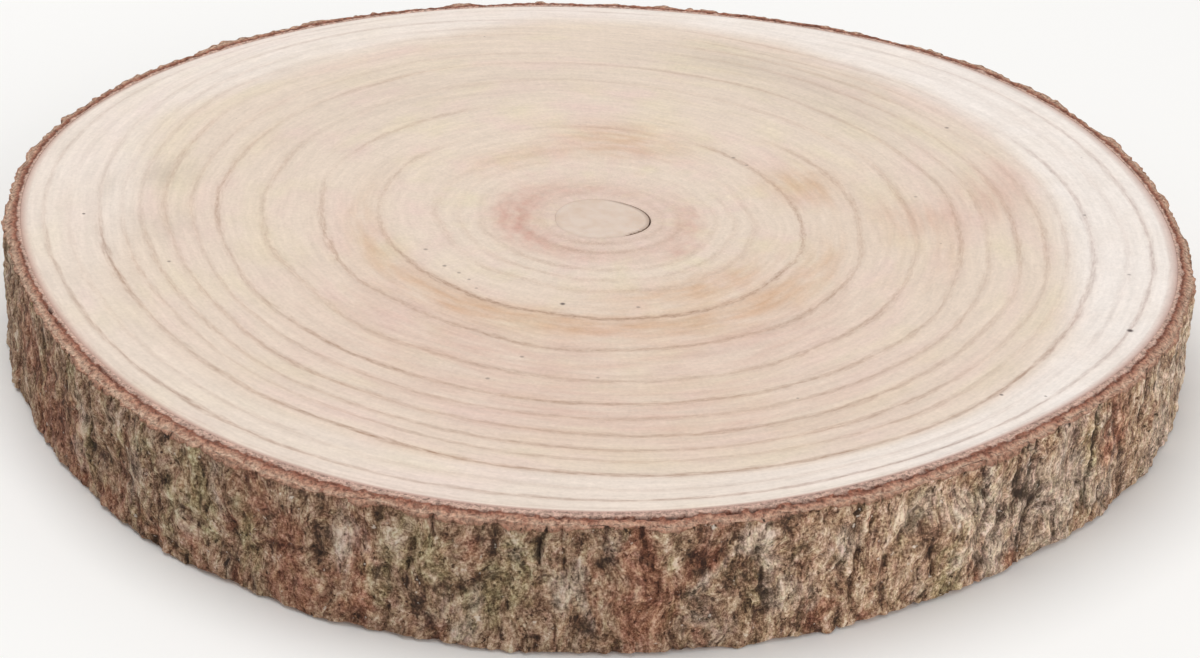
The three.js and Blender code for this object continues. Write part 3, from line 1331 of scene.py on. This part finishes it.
@dataclass(frozen=True)
class PithPlug:
    """The filled pith, which has shrunk away from the wood on its right side.

    Lengths are in mm. The crack is `crack` wide, and `closed` wide on the other side. It
    reaches `crack_reach` degrees each way from `crack_middle`, and is fully open over the
    share `fully_open` of that. One of its ends is jagged.
    """

    place: Placement
    columns: int = 240
    rows: int = 14
    crack: float = 0.42
    closed: float = 0.03
    crack_middle: float = 12.0
    crack_reach: float = 85.0
    fully_open: float = 0.45
    jags: Pattern = Pattern(0.9, 90, 1.0, 31)
    jagged_between: tuple[float, float] = (25.0, 60.0)
    sunk: float = 0.08
    dish: float = 0.1
    first_ring: float = 0.08
    last_ring: float = 0.98

    def build(self, material: Material) -> Piece:
        """Builds the plug: a top that falls a little to its rim, a side and a flat underside.

        Args:
            material: Its finish.

        Returns:
            The piece.
        """
        angle = np.linspace(0.0, FULL_TURN, self.columns, endpoint=False)
        turned = np.degrees(turn_between(angle, math.radians(self.crack_middle)))
        full = self.crack_reach * self.fully_open
        opening = smooth_step(-np.abs(turned), -self.crack_reach, -full)
        jagged = smooth_step(-turned, *self.jagged_between) * opening
        jags = np.abs(self.jags.relief(angle, np.zeros_like(angle)))
        uneven = 0.8 + 0.2 * np.cos(3.0 * angle)
        rim = PITH.at(angle) - (self.closed + opening * self.crack * uneven + jagged * jags)
        share = np.concatenate([np.linspace(self.first_ring, self.last_ring, self.rows), [1.0]])
        top = self.place.thickness - self.sunk - self.dish * share**2
        shares = np.concatenate([share, share[::-1]])
        share_grid, angle_grid = np.meshgrid(shares, angle, indexing="ij")
        height = np.concatenate([0.0 * share, top[::-1]])
        points = self.place.points(share_grid * rim, angle_grid, height[:, None])
        mesh = ring_mesh("pith", points, Section.POLES)
        # A faint darker edge all round, and painted shade along the crack where it is open.
        edge = smooth_step(share_grid, 0.93, 1.0) * (0.15 + 0.6 * opening[None, :])
        add_values(mesh, "rim", edge)
        return add_piece("pith", mesh, material, "pith_plug")


@dataclass(frozen=True)
class BarkSpot:
    """A soft patch on the bark's face.

    Its middle is at `angle` degrees and `height` mm, it reaches `along` mm round the trunk and
    `tall` mm up and down, and it moves sideways by `lean` mm for each mm upwards.
    """

    angle: float
    height: float
    along: float
    tall: float
    strength: float
    lean: float = 0.0

    def mask(self, angle: Array, height: Array) -> Array:
        """A bell on the bark: strength * exp(-(leaning arc / along)^2 - (height step / tall)^2).

        Args:
            angle: Angles in radians.
            height: Heights in mm.

        Returns:
            The patch's strength at each place.
        """
        step = height - self.height
        arc = turn_between(angle, math.radians(self.angle)) * TRUNK.mean - self.lean * step
        return self.strength * bell(arc / self.along, step / self.tall)


@dataclass(frozen=True)
class Split:
    """A narrow crack down the bark's face, widest and deepest at its top.

    It starts at `angle` degrees and `top` mm and ends at `bottom` mm, `lean` mm further round. It
    is `half_width` and `depth` mm at its top.
    """

    angle: float
    top: float
    bottom: float
    lean: float
    half_width: float
    depth: float

    def share(self, angle: Array, height: Array) -> Array:
        """How deep each point is in the crack, from 0 to 1: exp(-(arc from its line / width)^2).

        Args:
            angle: Angles in radians.
            height: Heights in mm.

        Returns:
            Values from 0 outside the crack to 1 in its deepest part.
        """
        down = np.clip((self.top - height) / (self.top - self.bottom), 0.0, 1.0)
        arc = turn_between(angle, math.radians(self.angle)) * TRUNK.mean - self.lean * down
        width = self.half_width * (1.0 - 0.5 * down)
        ends = smooth_step(height, self.bottom - 1.0, self.bottom + 2.0)
        ends = ends * smooth_step(-height, -self.top - 1.5, -self.top)
        return ends * (1.0 - 0.4 * down) * bell(arc / width)


@dataclass(frozen=True)
class Bark:
    """The bark: a torn inner layer on the cut and a rough outer layer of plates and furrows.

    Lengths are in mm, and a share is of the bark's thickness, 0 at the wood and 1 outside.
    """

    place: Placement
    # The thickness without its relief, the least that furrows leave of it, and the gap to the
    # wood with the part of it that stays open.
    thickness: Outline = Outline(4.4, (Wave(1, 0.3, 270.0), Wave(2, 1.0, 90.0)))
    least_thickness: float = 0.8
    seam: float = 0.3
    seam_open: float = 0.1
    # Columns and rows of both meshes.
    columns: int = 1440
    outer_rows: int = 52
    edge_rows: int = 5
    inner_rows: int = 18
    under_rows: int = 6
    # The share where the outer layer starts, how far the inner one laps it, and the share of
    # both hidden backs, with the part of the depth that they take up. The outer layer tucks
    # in under the inner one by `tuck`.
    split: float = 0.88
    lap: float = 0.02
    back: float = 0.05
    back_ends: tuple[float, float] = (0.12, 0.88)
    tuck: float = 0.2
    # The share that the saw left flush with the wood, and how far it tore down the rest.
    flush_share: float = 0.5
    top_tear: float = 1.0
    bottom_tear: float = 0.8
    # How far from the zero line of their patterns furrows and cracks reach.
    furrow_softness: float = 0.12
    crack_softness: float = 0.1
    # The relief, from the broadest to the finest.
    plates: Pattern = Pattern(0.7, 48, 26.0, 5)
    furrows: Pattern = Pattern(0.6, 72, 32.0, 1)
    wander: Pattern = Pattern(4.5, 58, 15.0, 3)
    lumps: Pattern = Pattern(0.4, 132, 7.0, 7)
    layers: Pattern = Pattern(0.26, 150, 9.0, 29)
    cracks: Pattern = Pattern(0.7, 230, 11.0, 9)
    cracks_open: Pattern = Pattern(1.0, 90, 10.0, 41)
    crack_wander: Pattern = Pattern(3.2, 120, 8.0, 15)
    split_wander: Pattern = Pattern(0.7, 150, 4.0, 43)
    flakes: Pattern = Pattern(0.4, 360, 4.0, 17)
    fibres: Pattern = Pattern(0.36, 700, 5.0, 19)
    grit: Pattern = Pattern(0.26, 660, 1.2, 23)
    # How the layers are stepped, how far a full patch of shade stands out, how far round and
    # along a hollow is measured, in columns and rows, and how deep a full one is. Hollows get
    # painted shade and crowns painted highlight.
    terraces: int = 3
    terrace_slope: float = 0.3
    swollen: float = 0.3
    hollow_reach: tuple[int, int] = (7, 5)
    hollow_depth: float = 0.8
    # How ragged both cuts are, how far down the fresh tear runs and how clear it is there,
    # then where the pits are and how deep.
    ragged_top: Pattern = Pattern(0.5, 128, 1.0, 13)
    ragged_bottom: Pattern = Pattern(0.28, 128, 1.0, 11)
    fine_ragged: Pattern = Pattern(0.35, 520, 1.0, 25)
    pits: Pattern = Pattern(1.0, 560, 0.8, 27)
    parted: Pattern = Pattern(1.0, 36, 1.0, 33)
    fresh_reach: float = 1.2
    least_reach: float = 0.2
    fresh_most: float = 0.75
    frayed: Pattern = Pattern(2.6, 170, 1.0, 35)
    pit_row: float = 0.4
    pit_row_half: float = 0.11
    inner_sunk: float = 0.1
    pit_depth: float = 0.25
    bead_depth: float = 0.9
    # How far out the band's colours move, and where the pits are deepest: the middle and half
    # length of each stretch, in degrees.
    drift: Outline = Outline(-0.1, (Wave(1, 0.3, 285.0), Wave(2, 0.3, 285.0)))
    beaded: tuple[tuple[float, float], ...] = ((207.0, 3.0), (277.0, 11.0))
    # The side on which the bark is paler, in degrees: partly paler bark, partly painted light falling
    # from that side.
    pale_and_lit_side: float = 344.0
    # Patches of rust, olive and grey, then those that are lighter and stand out, or are
    # darker and lie back where their strength is below 0.
    rust_spots: tuple[BarkSpot, ...] = (
        BarkSpot(275, 12, 8.5, 11, 0.75), BarkSpot(274.8, 25, 3, 6, 0.6),
        BarkSpot(245.5, 19, 4.5, 6, 0.5), BarkSpot(246.5, 7, 5, 6, 0.5),
        BarkSpot(252, 14, 2, 12, 0.45), BarkSpot(222.5, 4, 4, 3.5, 0.8),
        BarkSpot(203, 22, 7, 9, 0.45), BarkSpot(212.5, 9, 7, 8, 0.4),
        BarkSpot(239.8, 3, 3, 2.5, 0.5), BarkSpot(240, 17, 3, 2.5, 0.4),
        BarkSpot(261, 26, 2.5, 5, 0.45), BarkSpot(290.5, 6.5, 4.5, 4, 0.4),
        BarkSpot(288.8, 22, 2.5, 4, 0.3), BarkSpot(312, 3, 3, 3, 0.5),
        BarkSpot(327, 19, 6, 9, 0.5), BarkSpot(279.8, 24, 3, 5, 0.35),
        BarkSpot(60, 16, 24, 12, 0.15), BarkSpot(140, 12, 20, 12, 0.15),
        BarkSpot(206, 16, 16, 16, 0.4), BarkSpot(216, 10, 14, 14, 0.4),
        BarkSpot(226, 14, 12, 14, 0.2), BarkSpot(246, 14, 22, 20, 0.1),
    )
    olive_spots: tuple[BarkSpot, ...] = (
        BarkSpot(235, 17, 8, 13, 0.4), BarkSpot(241, 14, 4, 10, 0.3),
        BarkSpot(256.5, 23, 8, 8, 0.4), BarkSpot(254, 9, 3, 7, 0.35),
        BarkSpot(263, 13, 5, 12, 0.5), BarkSpot(265, 24, 3, 6, 0.35),
        BarkSpot(229, 26, 4, 5, 0.35), BarkSpot(225.5, 22, 4, 5, 0.3),
        BarkSpot(219.7, 14, 1.8, 11, 0.35), BarkSpot(308, 22, 8, 9, 0.15),
        BarkSpot(323, 12, 3, 10, 0.35), BarkSpot(20, 18, 30, 14, 0.1),
        BarkSpot(100, 20, 30, 12, 0.15), BarkSpot(175, 18, 24, 12, 0.1),
    )
    grey_spots: tuple[BarkSpot, ...] = (
        BarkSpot(284.1, 26, 4, 5, 0.7), BarkSpot(281.3, 21, 2, 8, 0.55, 1),
        BarkSpot(286, 15, 3, 13, 0.45, -0.2), BarkSpot(250.1, 20, 2.3, 9, 0.45),
        BarkSpot(260.2, 4, 3, 3, 0.5), BarkSpot(268.6, 17, 4, 9, 0.3),
        BarkSpot(292, 21, 4.5, 6, 0.35), BarkSpot(300, 8, 5, 5, 0.45),
        BarkSpot(307.5, 18, 10, 14, 0.4), BarkSpot(319, 15, 8, 13, 0.5),
        BarkSpot(318, 17, 30, 20, 0.3), BarkSpot(342, 17, 34, 22, 0.4),
        BarkSpot(227.5, 15, 3, 8, 0.3), BarkSpot(270.6, 11, 1.4, 8, 0.4, -0.25),
    )
    shade_spots: tuple[BarkSpot, ...] = (
        BarkSpot(217.8, 16, 2.6, 14, 0.6), BarkSpot(281.3, 21, 1.8, 8, 0.6, 1),
        BarkSpot(284.1, 26, 4, 5, 0.4), BarkSpot(277.8, 22, 1.3, 7, 0.6, -0.45),
        BarkSpot(286.6, 17, 2.2, 12, 0.2, -0.2), BarkSpot(250.1, 20, 2.3, 10, 0.5),
        BarkSpot(235, 17, 8, 12, 0.3), BarkSpot(256, 23, 7, 6, 0.3),
        BarkSpot(260.2, 4, 3, 3, 0.2), BarkSpot(298, 22, 6, 9, 0.35),
        BarkSpot(214, 15, 5, 7, -0.9), BarkSpot(248.3, 21, 2.5, 4, -0.6),
        BarkSpot(245, 14, 5, 11, -0.25), BarkSpot(257.3, 10, 5, 5, -0.6),
        BarkSpot(263, 17, 4, 10, -0.45), BarkSpot(283.3, 12, 4, 8, -0.8),
        BarkSpot(279.9, 24, 3, 5, -0.6), BarkSpot(288.8, 22, 2, 4, -0.4),
        BarkSpot(313, 16, 5, 12, -0.6), BarkSpot(323.3, 15, 3, 12, -0.1),
        BarkSpot(327, 20, 6, 9, -0.5), BarkSpot(290.5, 6.5, 4, 4, -0.6),
        BarkSpot(219.9, 16, 1.6, 11, -0.5), BarkSpot(252, 14, 2, 12, 0.45),
        BarkSpot(275, 12, 8, 10, -0.25), BarkSpot(222.5, 4, 4, 4, 0.4),
    )
    splits: tuple[Split, ...] = (
        Split(266.9, 32, 16, -1.2, 0.62, 0.96), Split(274.8, 32, 22, 0.3, 0.5, 0.88),
        Split(272, 32, 26, 0, 0.38, 0.56), Split(282.6, 25, 17, -0.6, 0.38, 0.8),
        Split(284.5, 24, 11, 3.2, 0.38, 0.88), Split(293.8, 19, 6, -0.6, 0.56, 0.96),
        Split(302.2, 14, 1, 1, 0.5, 0.72), Split(236.6, 24, 16, 0.4, 0.43, 0.72),
        Split(247.6, 32, 28, -2.5, 0.38, 0.64), Split(256, 25, 12, -0.4, 0.38, 0.64),
        Split(229.6, 22, 9, 4, 0.38, 0.64), Split(219.8, 30, 8, -1, 0.62, 0.72),
        Split(312.4, 31, 22, -2.5, 0.5, 0.64), Split(323.6, 31, 4, -2, 0.93, 0.72),
        Split(276.3, 19, 14, 0.8, 0.38, 0.56), Split(268.2, 13, 2, -0.5, 0.38, 0.56),
    )

    def build(self, outer: Material, inner: Material) -> list[Piece]:
        """Builds both layers.

        Args:
            outer: The finish of the rough outer bark.
            inner: The finish of the torn inner bark.

        Returns:
            The two pieces.
        """
        return [self._build_outer(outer), self._build_inner(inner)]

    def broad_relief(self, angle: Array, height: Array) -> tuple[Array, Array]:
        """The thickness with its plates, lumps and furrows.

        Furrows lie where a pattern that is stretched along the grain passes through zero.

        Args:
            angle: Angles in radians.
            height: Heights in mm.

        Returns:
            The thickness in mm, and how deep in a furrow each point is, from 0 to 1, which also sets
            the painted shade in the furrows.
        """
        strayed = angle + self.wander.relief(angle, height) / TRUNK.mean
        furrow = bell(self.furrows.values(strayed, height) / self.furrow_softness)
        broad = self.thickness.at(angle) + self.plates.relief(angle, height)
        broad += self.lumps.relief(angle, height)
        broad += self._spots(self.shade_spots, angle, height) * self.swollen
        return broad - self.furrows.depth * furrow, furrow

    def fine_relief(self, angle: Array, height: Array) -> tuple[Array, Array]:
        """Scaly layers, flakes, fibres, grit and cracks.

        A crack is a sharp valley along the zero line of its own pattern, open in some places and
        closed in others and where the bark is rusty, or one of the larger splits. The layers
        are a pattern cut into terraces with short slopes.

        Args:
            angle: Angles in radians.
            height: Heights in mm.

        Returns:
            The relief in mm, and how deep in a crack each point is, from 0 to 1, which also sets the
            painted shade in the cracks.
        """
        strayed = angle + self.crack_wander.relief(angle, height) / TRUNK.mean
        gate = smooth_step(self.cracks_open.relief(strayed, height), -0.3, 0.4)
        valley = np.abs(self.cracks.values(strayed, height)) / self.crack_softness
        scaly = 1.0 - np.clip(self._spots(self.rust_spots, angle, height), 0.0, 0.8)
        crack = gate * scaly * np.clip(1.0 - valley, 0.0, 1.0)
        half = self.terraces / 2.0
        level = half * (self.layers.values(strayed, height) + 1.0)
        step = np.floor(level)
        terrace = step + smooth_step(level - step, 0.0, self.terrace_slope)
        rough = self.flakes.relief(strayed, height) + self.fibres.relief(strayed, height)
        rough += self.layers.depth * (terrace / half - 1.0) + self.grit.relief(angle, height)
        bent = angle + self.split_wander.relief(angle, height) / TRUNK.mean
        shares = [one.share(bent, height) for one in self.splits]
        cut = sum(one.depth * share for one, share in zip(self.splits, shares))
        dark = np.clip(crack**2 + sum(shares), 0.0, 1.0)
        return rough - self.cracks.depth * crack**1.5 - cut, dark

    def cut_height(self, angle: Array, share: Array, rise: Array) -> Array:
        """The height in mm of a point of the bark: both cuts draw in past the flush share.

        Args:
            angle: Angles in radians.
            share: Shares of the bark's thickness, from 0 at the wood to 1 outside.
            rise: Shares of its depth, from 0 on the lower cut to 1 on the upper one.

        Returns:
            The heights in mm.
        """
        torn = np.clip((share - self.flush_share) / (1.0 - self.flush_share), 0.0, 1.0)
        level = np.zeros_like(angle)
        fine = self.fine_ragged.relief(angle, level)
        lower = self.bottom_tear + self.ragged_bottom.relief(angle, level) + fine
        upper = self.top_tear + self.ragged_top.relief(angle, level) - fine
        bottom = torn * lower
        top = self.place.thickness - torn * upper
        return bottom + (top - bottom) * rise

    def _grid(self, share: Array, rise: Array) -> tuple[Array, Array, Array]:
        """Spreads a section's shares and rises round the trunk.

        Args:
            share: The share of the bark's thickness of each row.
            rise: The share of its depth of each row.

        Returns:
            Angles, shares and rises, rows by columns.
        """
        angle = np.linspace(0.0, FULL_TURN, self.columns, endpoint=False)
        share_grid, angle_grid = np.meshgrid(share, angle, indexing="ij")
        return angle_grid, share_grid, np.repeat(rise[:, None], self.columns, axis=1)

    @staticmethod
    def _spots(spots: tuple[BarkSpot, ...], angle: Array, height: Array) -> Array:
        """The sum of some patches at each angle and height."""
        return sum(spot.mask(angle, height) for spot in spots)

    def _build_outer(self, material: Material) -> Piece:
        """Builds the rough outer layer: its lower edge, outer face, upper edge and hidden back.

        Args:
            material: Its finish.

        Returns:
            The piece.
        """
        edge = np.linspace(self.split, 1.0, self.edge_rows, endpoint=False)
        flat = np.ones(self.edge_rows)
        low, high = self.back_ends
        face = np.linspace(0.0, 1.0, self.outer_rows + 1)
        share = np.concatenate([edge, np.ones_like(face), edge[::-1], [self.back, self.back]])
        rise = np.concatenate([0.0 * flat, face, flat, [high, low]])
        angle, share, rise = self._grid(share, rise)
        height = self.cut_height(angle, share, rise)
        broad, furrow = self.broad_relief(angle, height)
        fine, crack = self.fine_relief(angle, height)
        outside = broad + fine * smooth_step(share, self.split, 1.0)
        outside = np.maximum(outside, self.least_thickness)
        radius = TRUNK.at(angle) + self.seam + share * outside
        tucked = np.where(rise > 0.5, -self.tuck, self.tuck) * (share <= self.split)
        points = self.place.points(radius, angle, height + tucked)
        mesh = ring_mesh("outer_bark", points, Section.CLOSED)
        relief = broad + fine
        shown = smooth_step(share, 0.8, 1.0)
        hollow = (relief - self._blurred(relief, *self.hollow_reach)) / self.hollow_depth
        kinds = (self.rust_spots, self.olive_spots, self.grey_spots)
        patches = [self._spots(kind, angle, height) for kind in kinds]
        # Paler towards one side: partly paler bark, partly painted light falling from that side.
        paleness = smooth_step(facing(angle, self.pale_and_lit_side), 0.1, 0.85)
        # Painted highlight on crowns and painted shade in hollows, furrows and cracks.
        add_values(mesh, "cavity", np.clip(hollow, -1.0, 1.0))
        add_values(mesh, "furrow", furrow**1.6 * shown)
        add_values(mesh, "crack", crack * shown)
        add_values(mesh, "torn", self._torn(angle, height, share))
        add_values(mesh, "paleness", paleness)
        add_values(mesh, "shade", self._spots(self.shade_spots, angle, height))
        add_vectors(mesh, "patches", np.stack(patches, axis=-1))
        return add_piece("outer_bark", mesh, material, "bark_ring")

    def _torn(self, angle: Array, height: Array, share: Array) -> Array:
        """How fresh the tear is: 1 on the upper cut, and running out a few mm down the face.

        Args:
            angle: Angles in radians.
            height: Heights in mm.
            share: Shares of the bark's thickness.

        Returns:
            Values from 0 to 1.
        """
        below = self.place.thickness - self.top_tear - height
        reach = self.fresh_reach + self.frayed.relief(angle, np.zeros_like(angle))
        face = smooth_step(-below / np.maximum(reach, self.least_reach), -1.0, 0.0)
        cut = smooth_step(-share, -1.0, -self.split) * (height > 0.5 * self.place.thickness)
        return np.maximum(self.fresh_most * face, cut)

    def _beads(self, angle: Array) -> Array:
        """Where the dark row of pits opens: in the named stretches, and weakly here and there.

        Args:
            angle: Angles in radians.

        Returns:
            Values from 0, where it is closed, to 1.
        """
        named = [
            bell(np.degrees(turn_between(angle, math.radians(middle))) / half)
            for middle, half in self.beaded
        ]
        chance = smooth_step(self.parted.relief(angle, np.zeros_like(angle)), 0.3, 0.9)
        return np.maximum.reduce([*named, 0.4 * chance])

    def _build_inner(self, material: Material) -> Piece:
        """Builds the inner layer: its back against the wood and the torn cuts above and below.

        Args:
            material: Its finish.

        Returns:
            The piece.
        """
        top = np.linspace(0.0, self.split + self.lap, self.inner_rows)
        under = np.linspace(0.0, self.split + self.lap, self.under_rows)
        low, high = self.back_ends
        share = np.concatenate([under, [self.back, self.back], top[::-1]])
        rise = np.concatenate([np.zeros(len(under)), [low, high], np.ones(len(top))])
        angle, share, rise = self._grid(share, rise)
        height = self.cut_height(angle, share, rise)
        broad, _ = self.broad_relief(angle, height)
        out = share * broad
        beads = self._beads(angle)
        band = share / self.split - self.drift.at(angle) / self.thickness.mean
        row = bell((band - self.pit_row) / self.pit_row_half)
        upper_cut = rise == 1.0
        pit = row * smooth_step(self.pits.relief(angle, out), -0.35, 0.35) * upper_cut
        crumbs = self.grit.relief(angle, 1.5 * out) * smooth_step(share, 0.05, 0.4)
        pit_depth = self.pit_depth + self.bead_depth * beads
        sunk = self.inner_sunk + pit_depth * pit + crumbs
        inner = TRUNK.at(angle) + self.seam * self.seam_open
        radius = inner + share * (broad + self.seam * (1.0 - self.seam_open))
        points = self.place.points(radius, angle, height - sunk * upper_cut)
        mesh = ring_mesh("inner_bark", points, Section.CLOSED)
        add_values(mesh, "band", band)
        # Painted shade in the pits, strongest where the row of pits opens deepest.
        add_values(mesh, "pit", pit * (0.3 + 0.7 * beads))
        return add_piece("inner_bark", mesh, material, "bark_ring")

    @staticmethod
    def _blurred(values: Array, across: int, along: int) -> Array:
        """Averages each value with its neighbours, round the trunk and along the rows.

        Args:
            values: Rows by columns.
            across: Neighbouring columns on each side.
            along: Neighbouring rows on each side.

        Returns:
            The averages, in the same shape.
        """
        for axis, reach in ((1, across), (0, along)):
            steps = range(-reach, reach + 1)
            values = np.mean([np.roll(values, step, axis=axis) for step in steps], axis=0)
        return values


@dataclass(frozen=True)
class SoftLight:
    """A square light that faces the slice: its spot and side in metres, its power in watts."""

    name: str
    spot: tuple[float, float, float]
    side: float
    power: float

    def hang(self) -> None:
        """Hangs the light at its spot."""
        data = bpy.data.lights.new(self.name, "AREA")
        data.size = self.side
        data.energy = self.power
        light = bpy.data.objects.new(self.name, data)
        turned = Vector(self.spot).to_track_quat("Z", "Y").to_matrix().to_4x4()
        light.matrix_world = Matrix.Translation(self.spot) @ turned
        bpy.context.scene.collection.objects.link(light)


@dataclass(frozen=True)
class Studio:
    """The pale floor, the soft lights and the camera at the photograph's viewing angle.

    The camera is `distance` mm from its target, which is on the upper cut at `target` mm from
    the trunk's middle. It looks down by `pitch` degrees and is rolled by `roll` degrees.
    """

    place: Placement
    floor_half: float = 4.0  # metres
    floor_gap: float = 0.05  # mm under the slice
    pitch: float = 27.075
    roll: float = 2.64
    lens: float = 105.64
    distance: float = 833.75
    target: tuple[float, float] = (1.46, -61.32)
    sensor: float = 36.0
    surround_strength: float = 0.5
    lights: tuple[SoftLight, ...] = (
        SoftLight("overhead", (-0.3, 0.3, 1.7), 1.6, 18),
        SoftLight("front", (1.1, -1.7, 0.9), 1.2, 13),
    )

    def build(self, floor: Material) -> None:
        """Lays the floor, hangs the lights and sets up the camera.

        Args:
            floor: The floor's finish.
        """
        self._lay_floor(floor)
        self._light()
        self._set_camera()

    def _lay_floor(self, material: Material) -> None:
        """Makes a flat square just under the slice.

        Args:
            material: Its finish.
        """
        half = self.floor_half
        corners = ((-half, -half), (half, -half), (half, half), (-half, half))
        mesh = bpy.data.meshes.new("floor")
        mesh.from_pydata([(x, y, -self.floor_gap * MM) for x, y in corners], [], [(0, 1, 2, 3)])
        mesh.materials.append(material)
        floor = bpy.data.objects.new("floor", mesh)
        bpy.context.scene.collection.objects.link(floor)

    def _light(self) -> None:
        """Sets a white surround, and hangs a broad light overhead and a weaker one in front."""
        world = bpy.data.worlds.new("white_surround")
        bpy.context.scene.world = world
        world.use_nodes = True
        surround = world.node_tree.nodes["Background"]
        surround.inputs["Color"].default_value = tint("ffffff")
        surround.inputs["Strength"].default_value = self.surround_strength
        for light in self.lights:
            light.hang()

    def _set_camera(self) -> None:
        """Stands the camera back from its target along its line of sight, then rolls it."""
        data = bpy.data.cameras.new("camera")
        data.lens = self.lens
        data.sensor_width = self.sensor
        camera = bpy.data.objects.new("camera", data)
        pitch = math.radians(self.pitch)
        right, up = self.target
        place = self.place
        target = Vector((place.middle_x + right, place.middle_y + up, place.thickness)) * MM
        back = Vector((0.0, -math.cos(pitch), math.sin(pitch))) * self.distance * MM
        rolled = Matrix.Rotation(math.radians(self.roll), 4, "Z")
        turned = Matrix.Rotation(math.pi / 2.0 - pitch, 4, "X") @ rolled
        camera.matrix_world = Matrix.Translation(target + back) @ turned
        bpy.context.scene.collection.objects.link(camera)
        bpy.context.scene.camera = camera
        bpy.context.scene.view_settings.view_transform = "Standard"


def main() -> None:
    """Builds the slice piece by piece, then its surroundings, and notes the sizes."""
    logging.basicConfig(level=logging.INFO, format="%(name)s: %(message)s")
    place = Placement.from_frame()
    log.info("outline's middle at %.2f, %.2f mm", place.middle_x, place.middle_y)
    log.info("%.2f mm from cut to cut", place.thickness)
    WoodDisc(place).build(SandedEndGrain(place).material())
    PithPlug(place).build(SmoothFiller().material())
    Bark(place).build(LichenedBark().material(), TornInnerBark().material())
    Studio(place).build(PaleFloor().material())


if __name__ == "__main__":
    main()
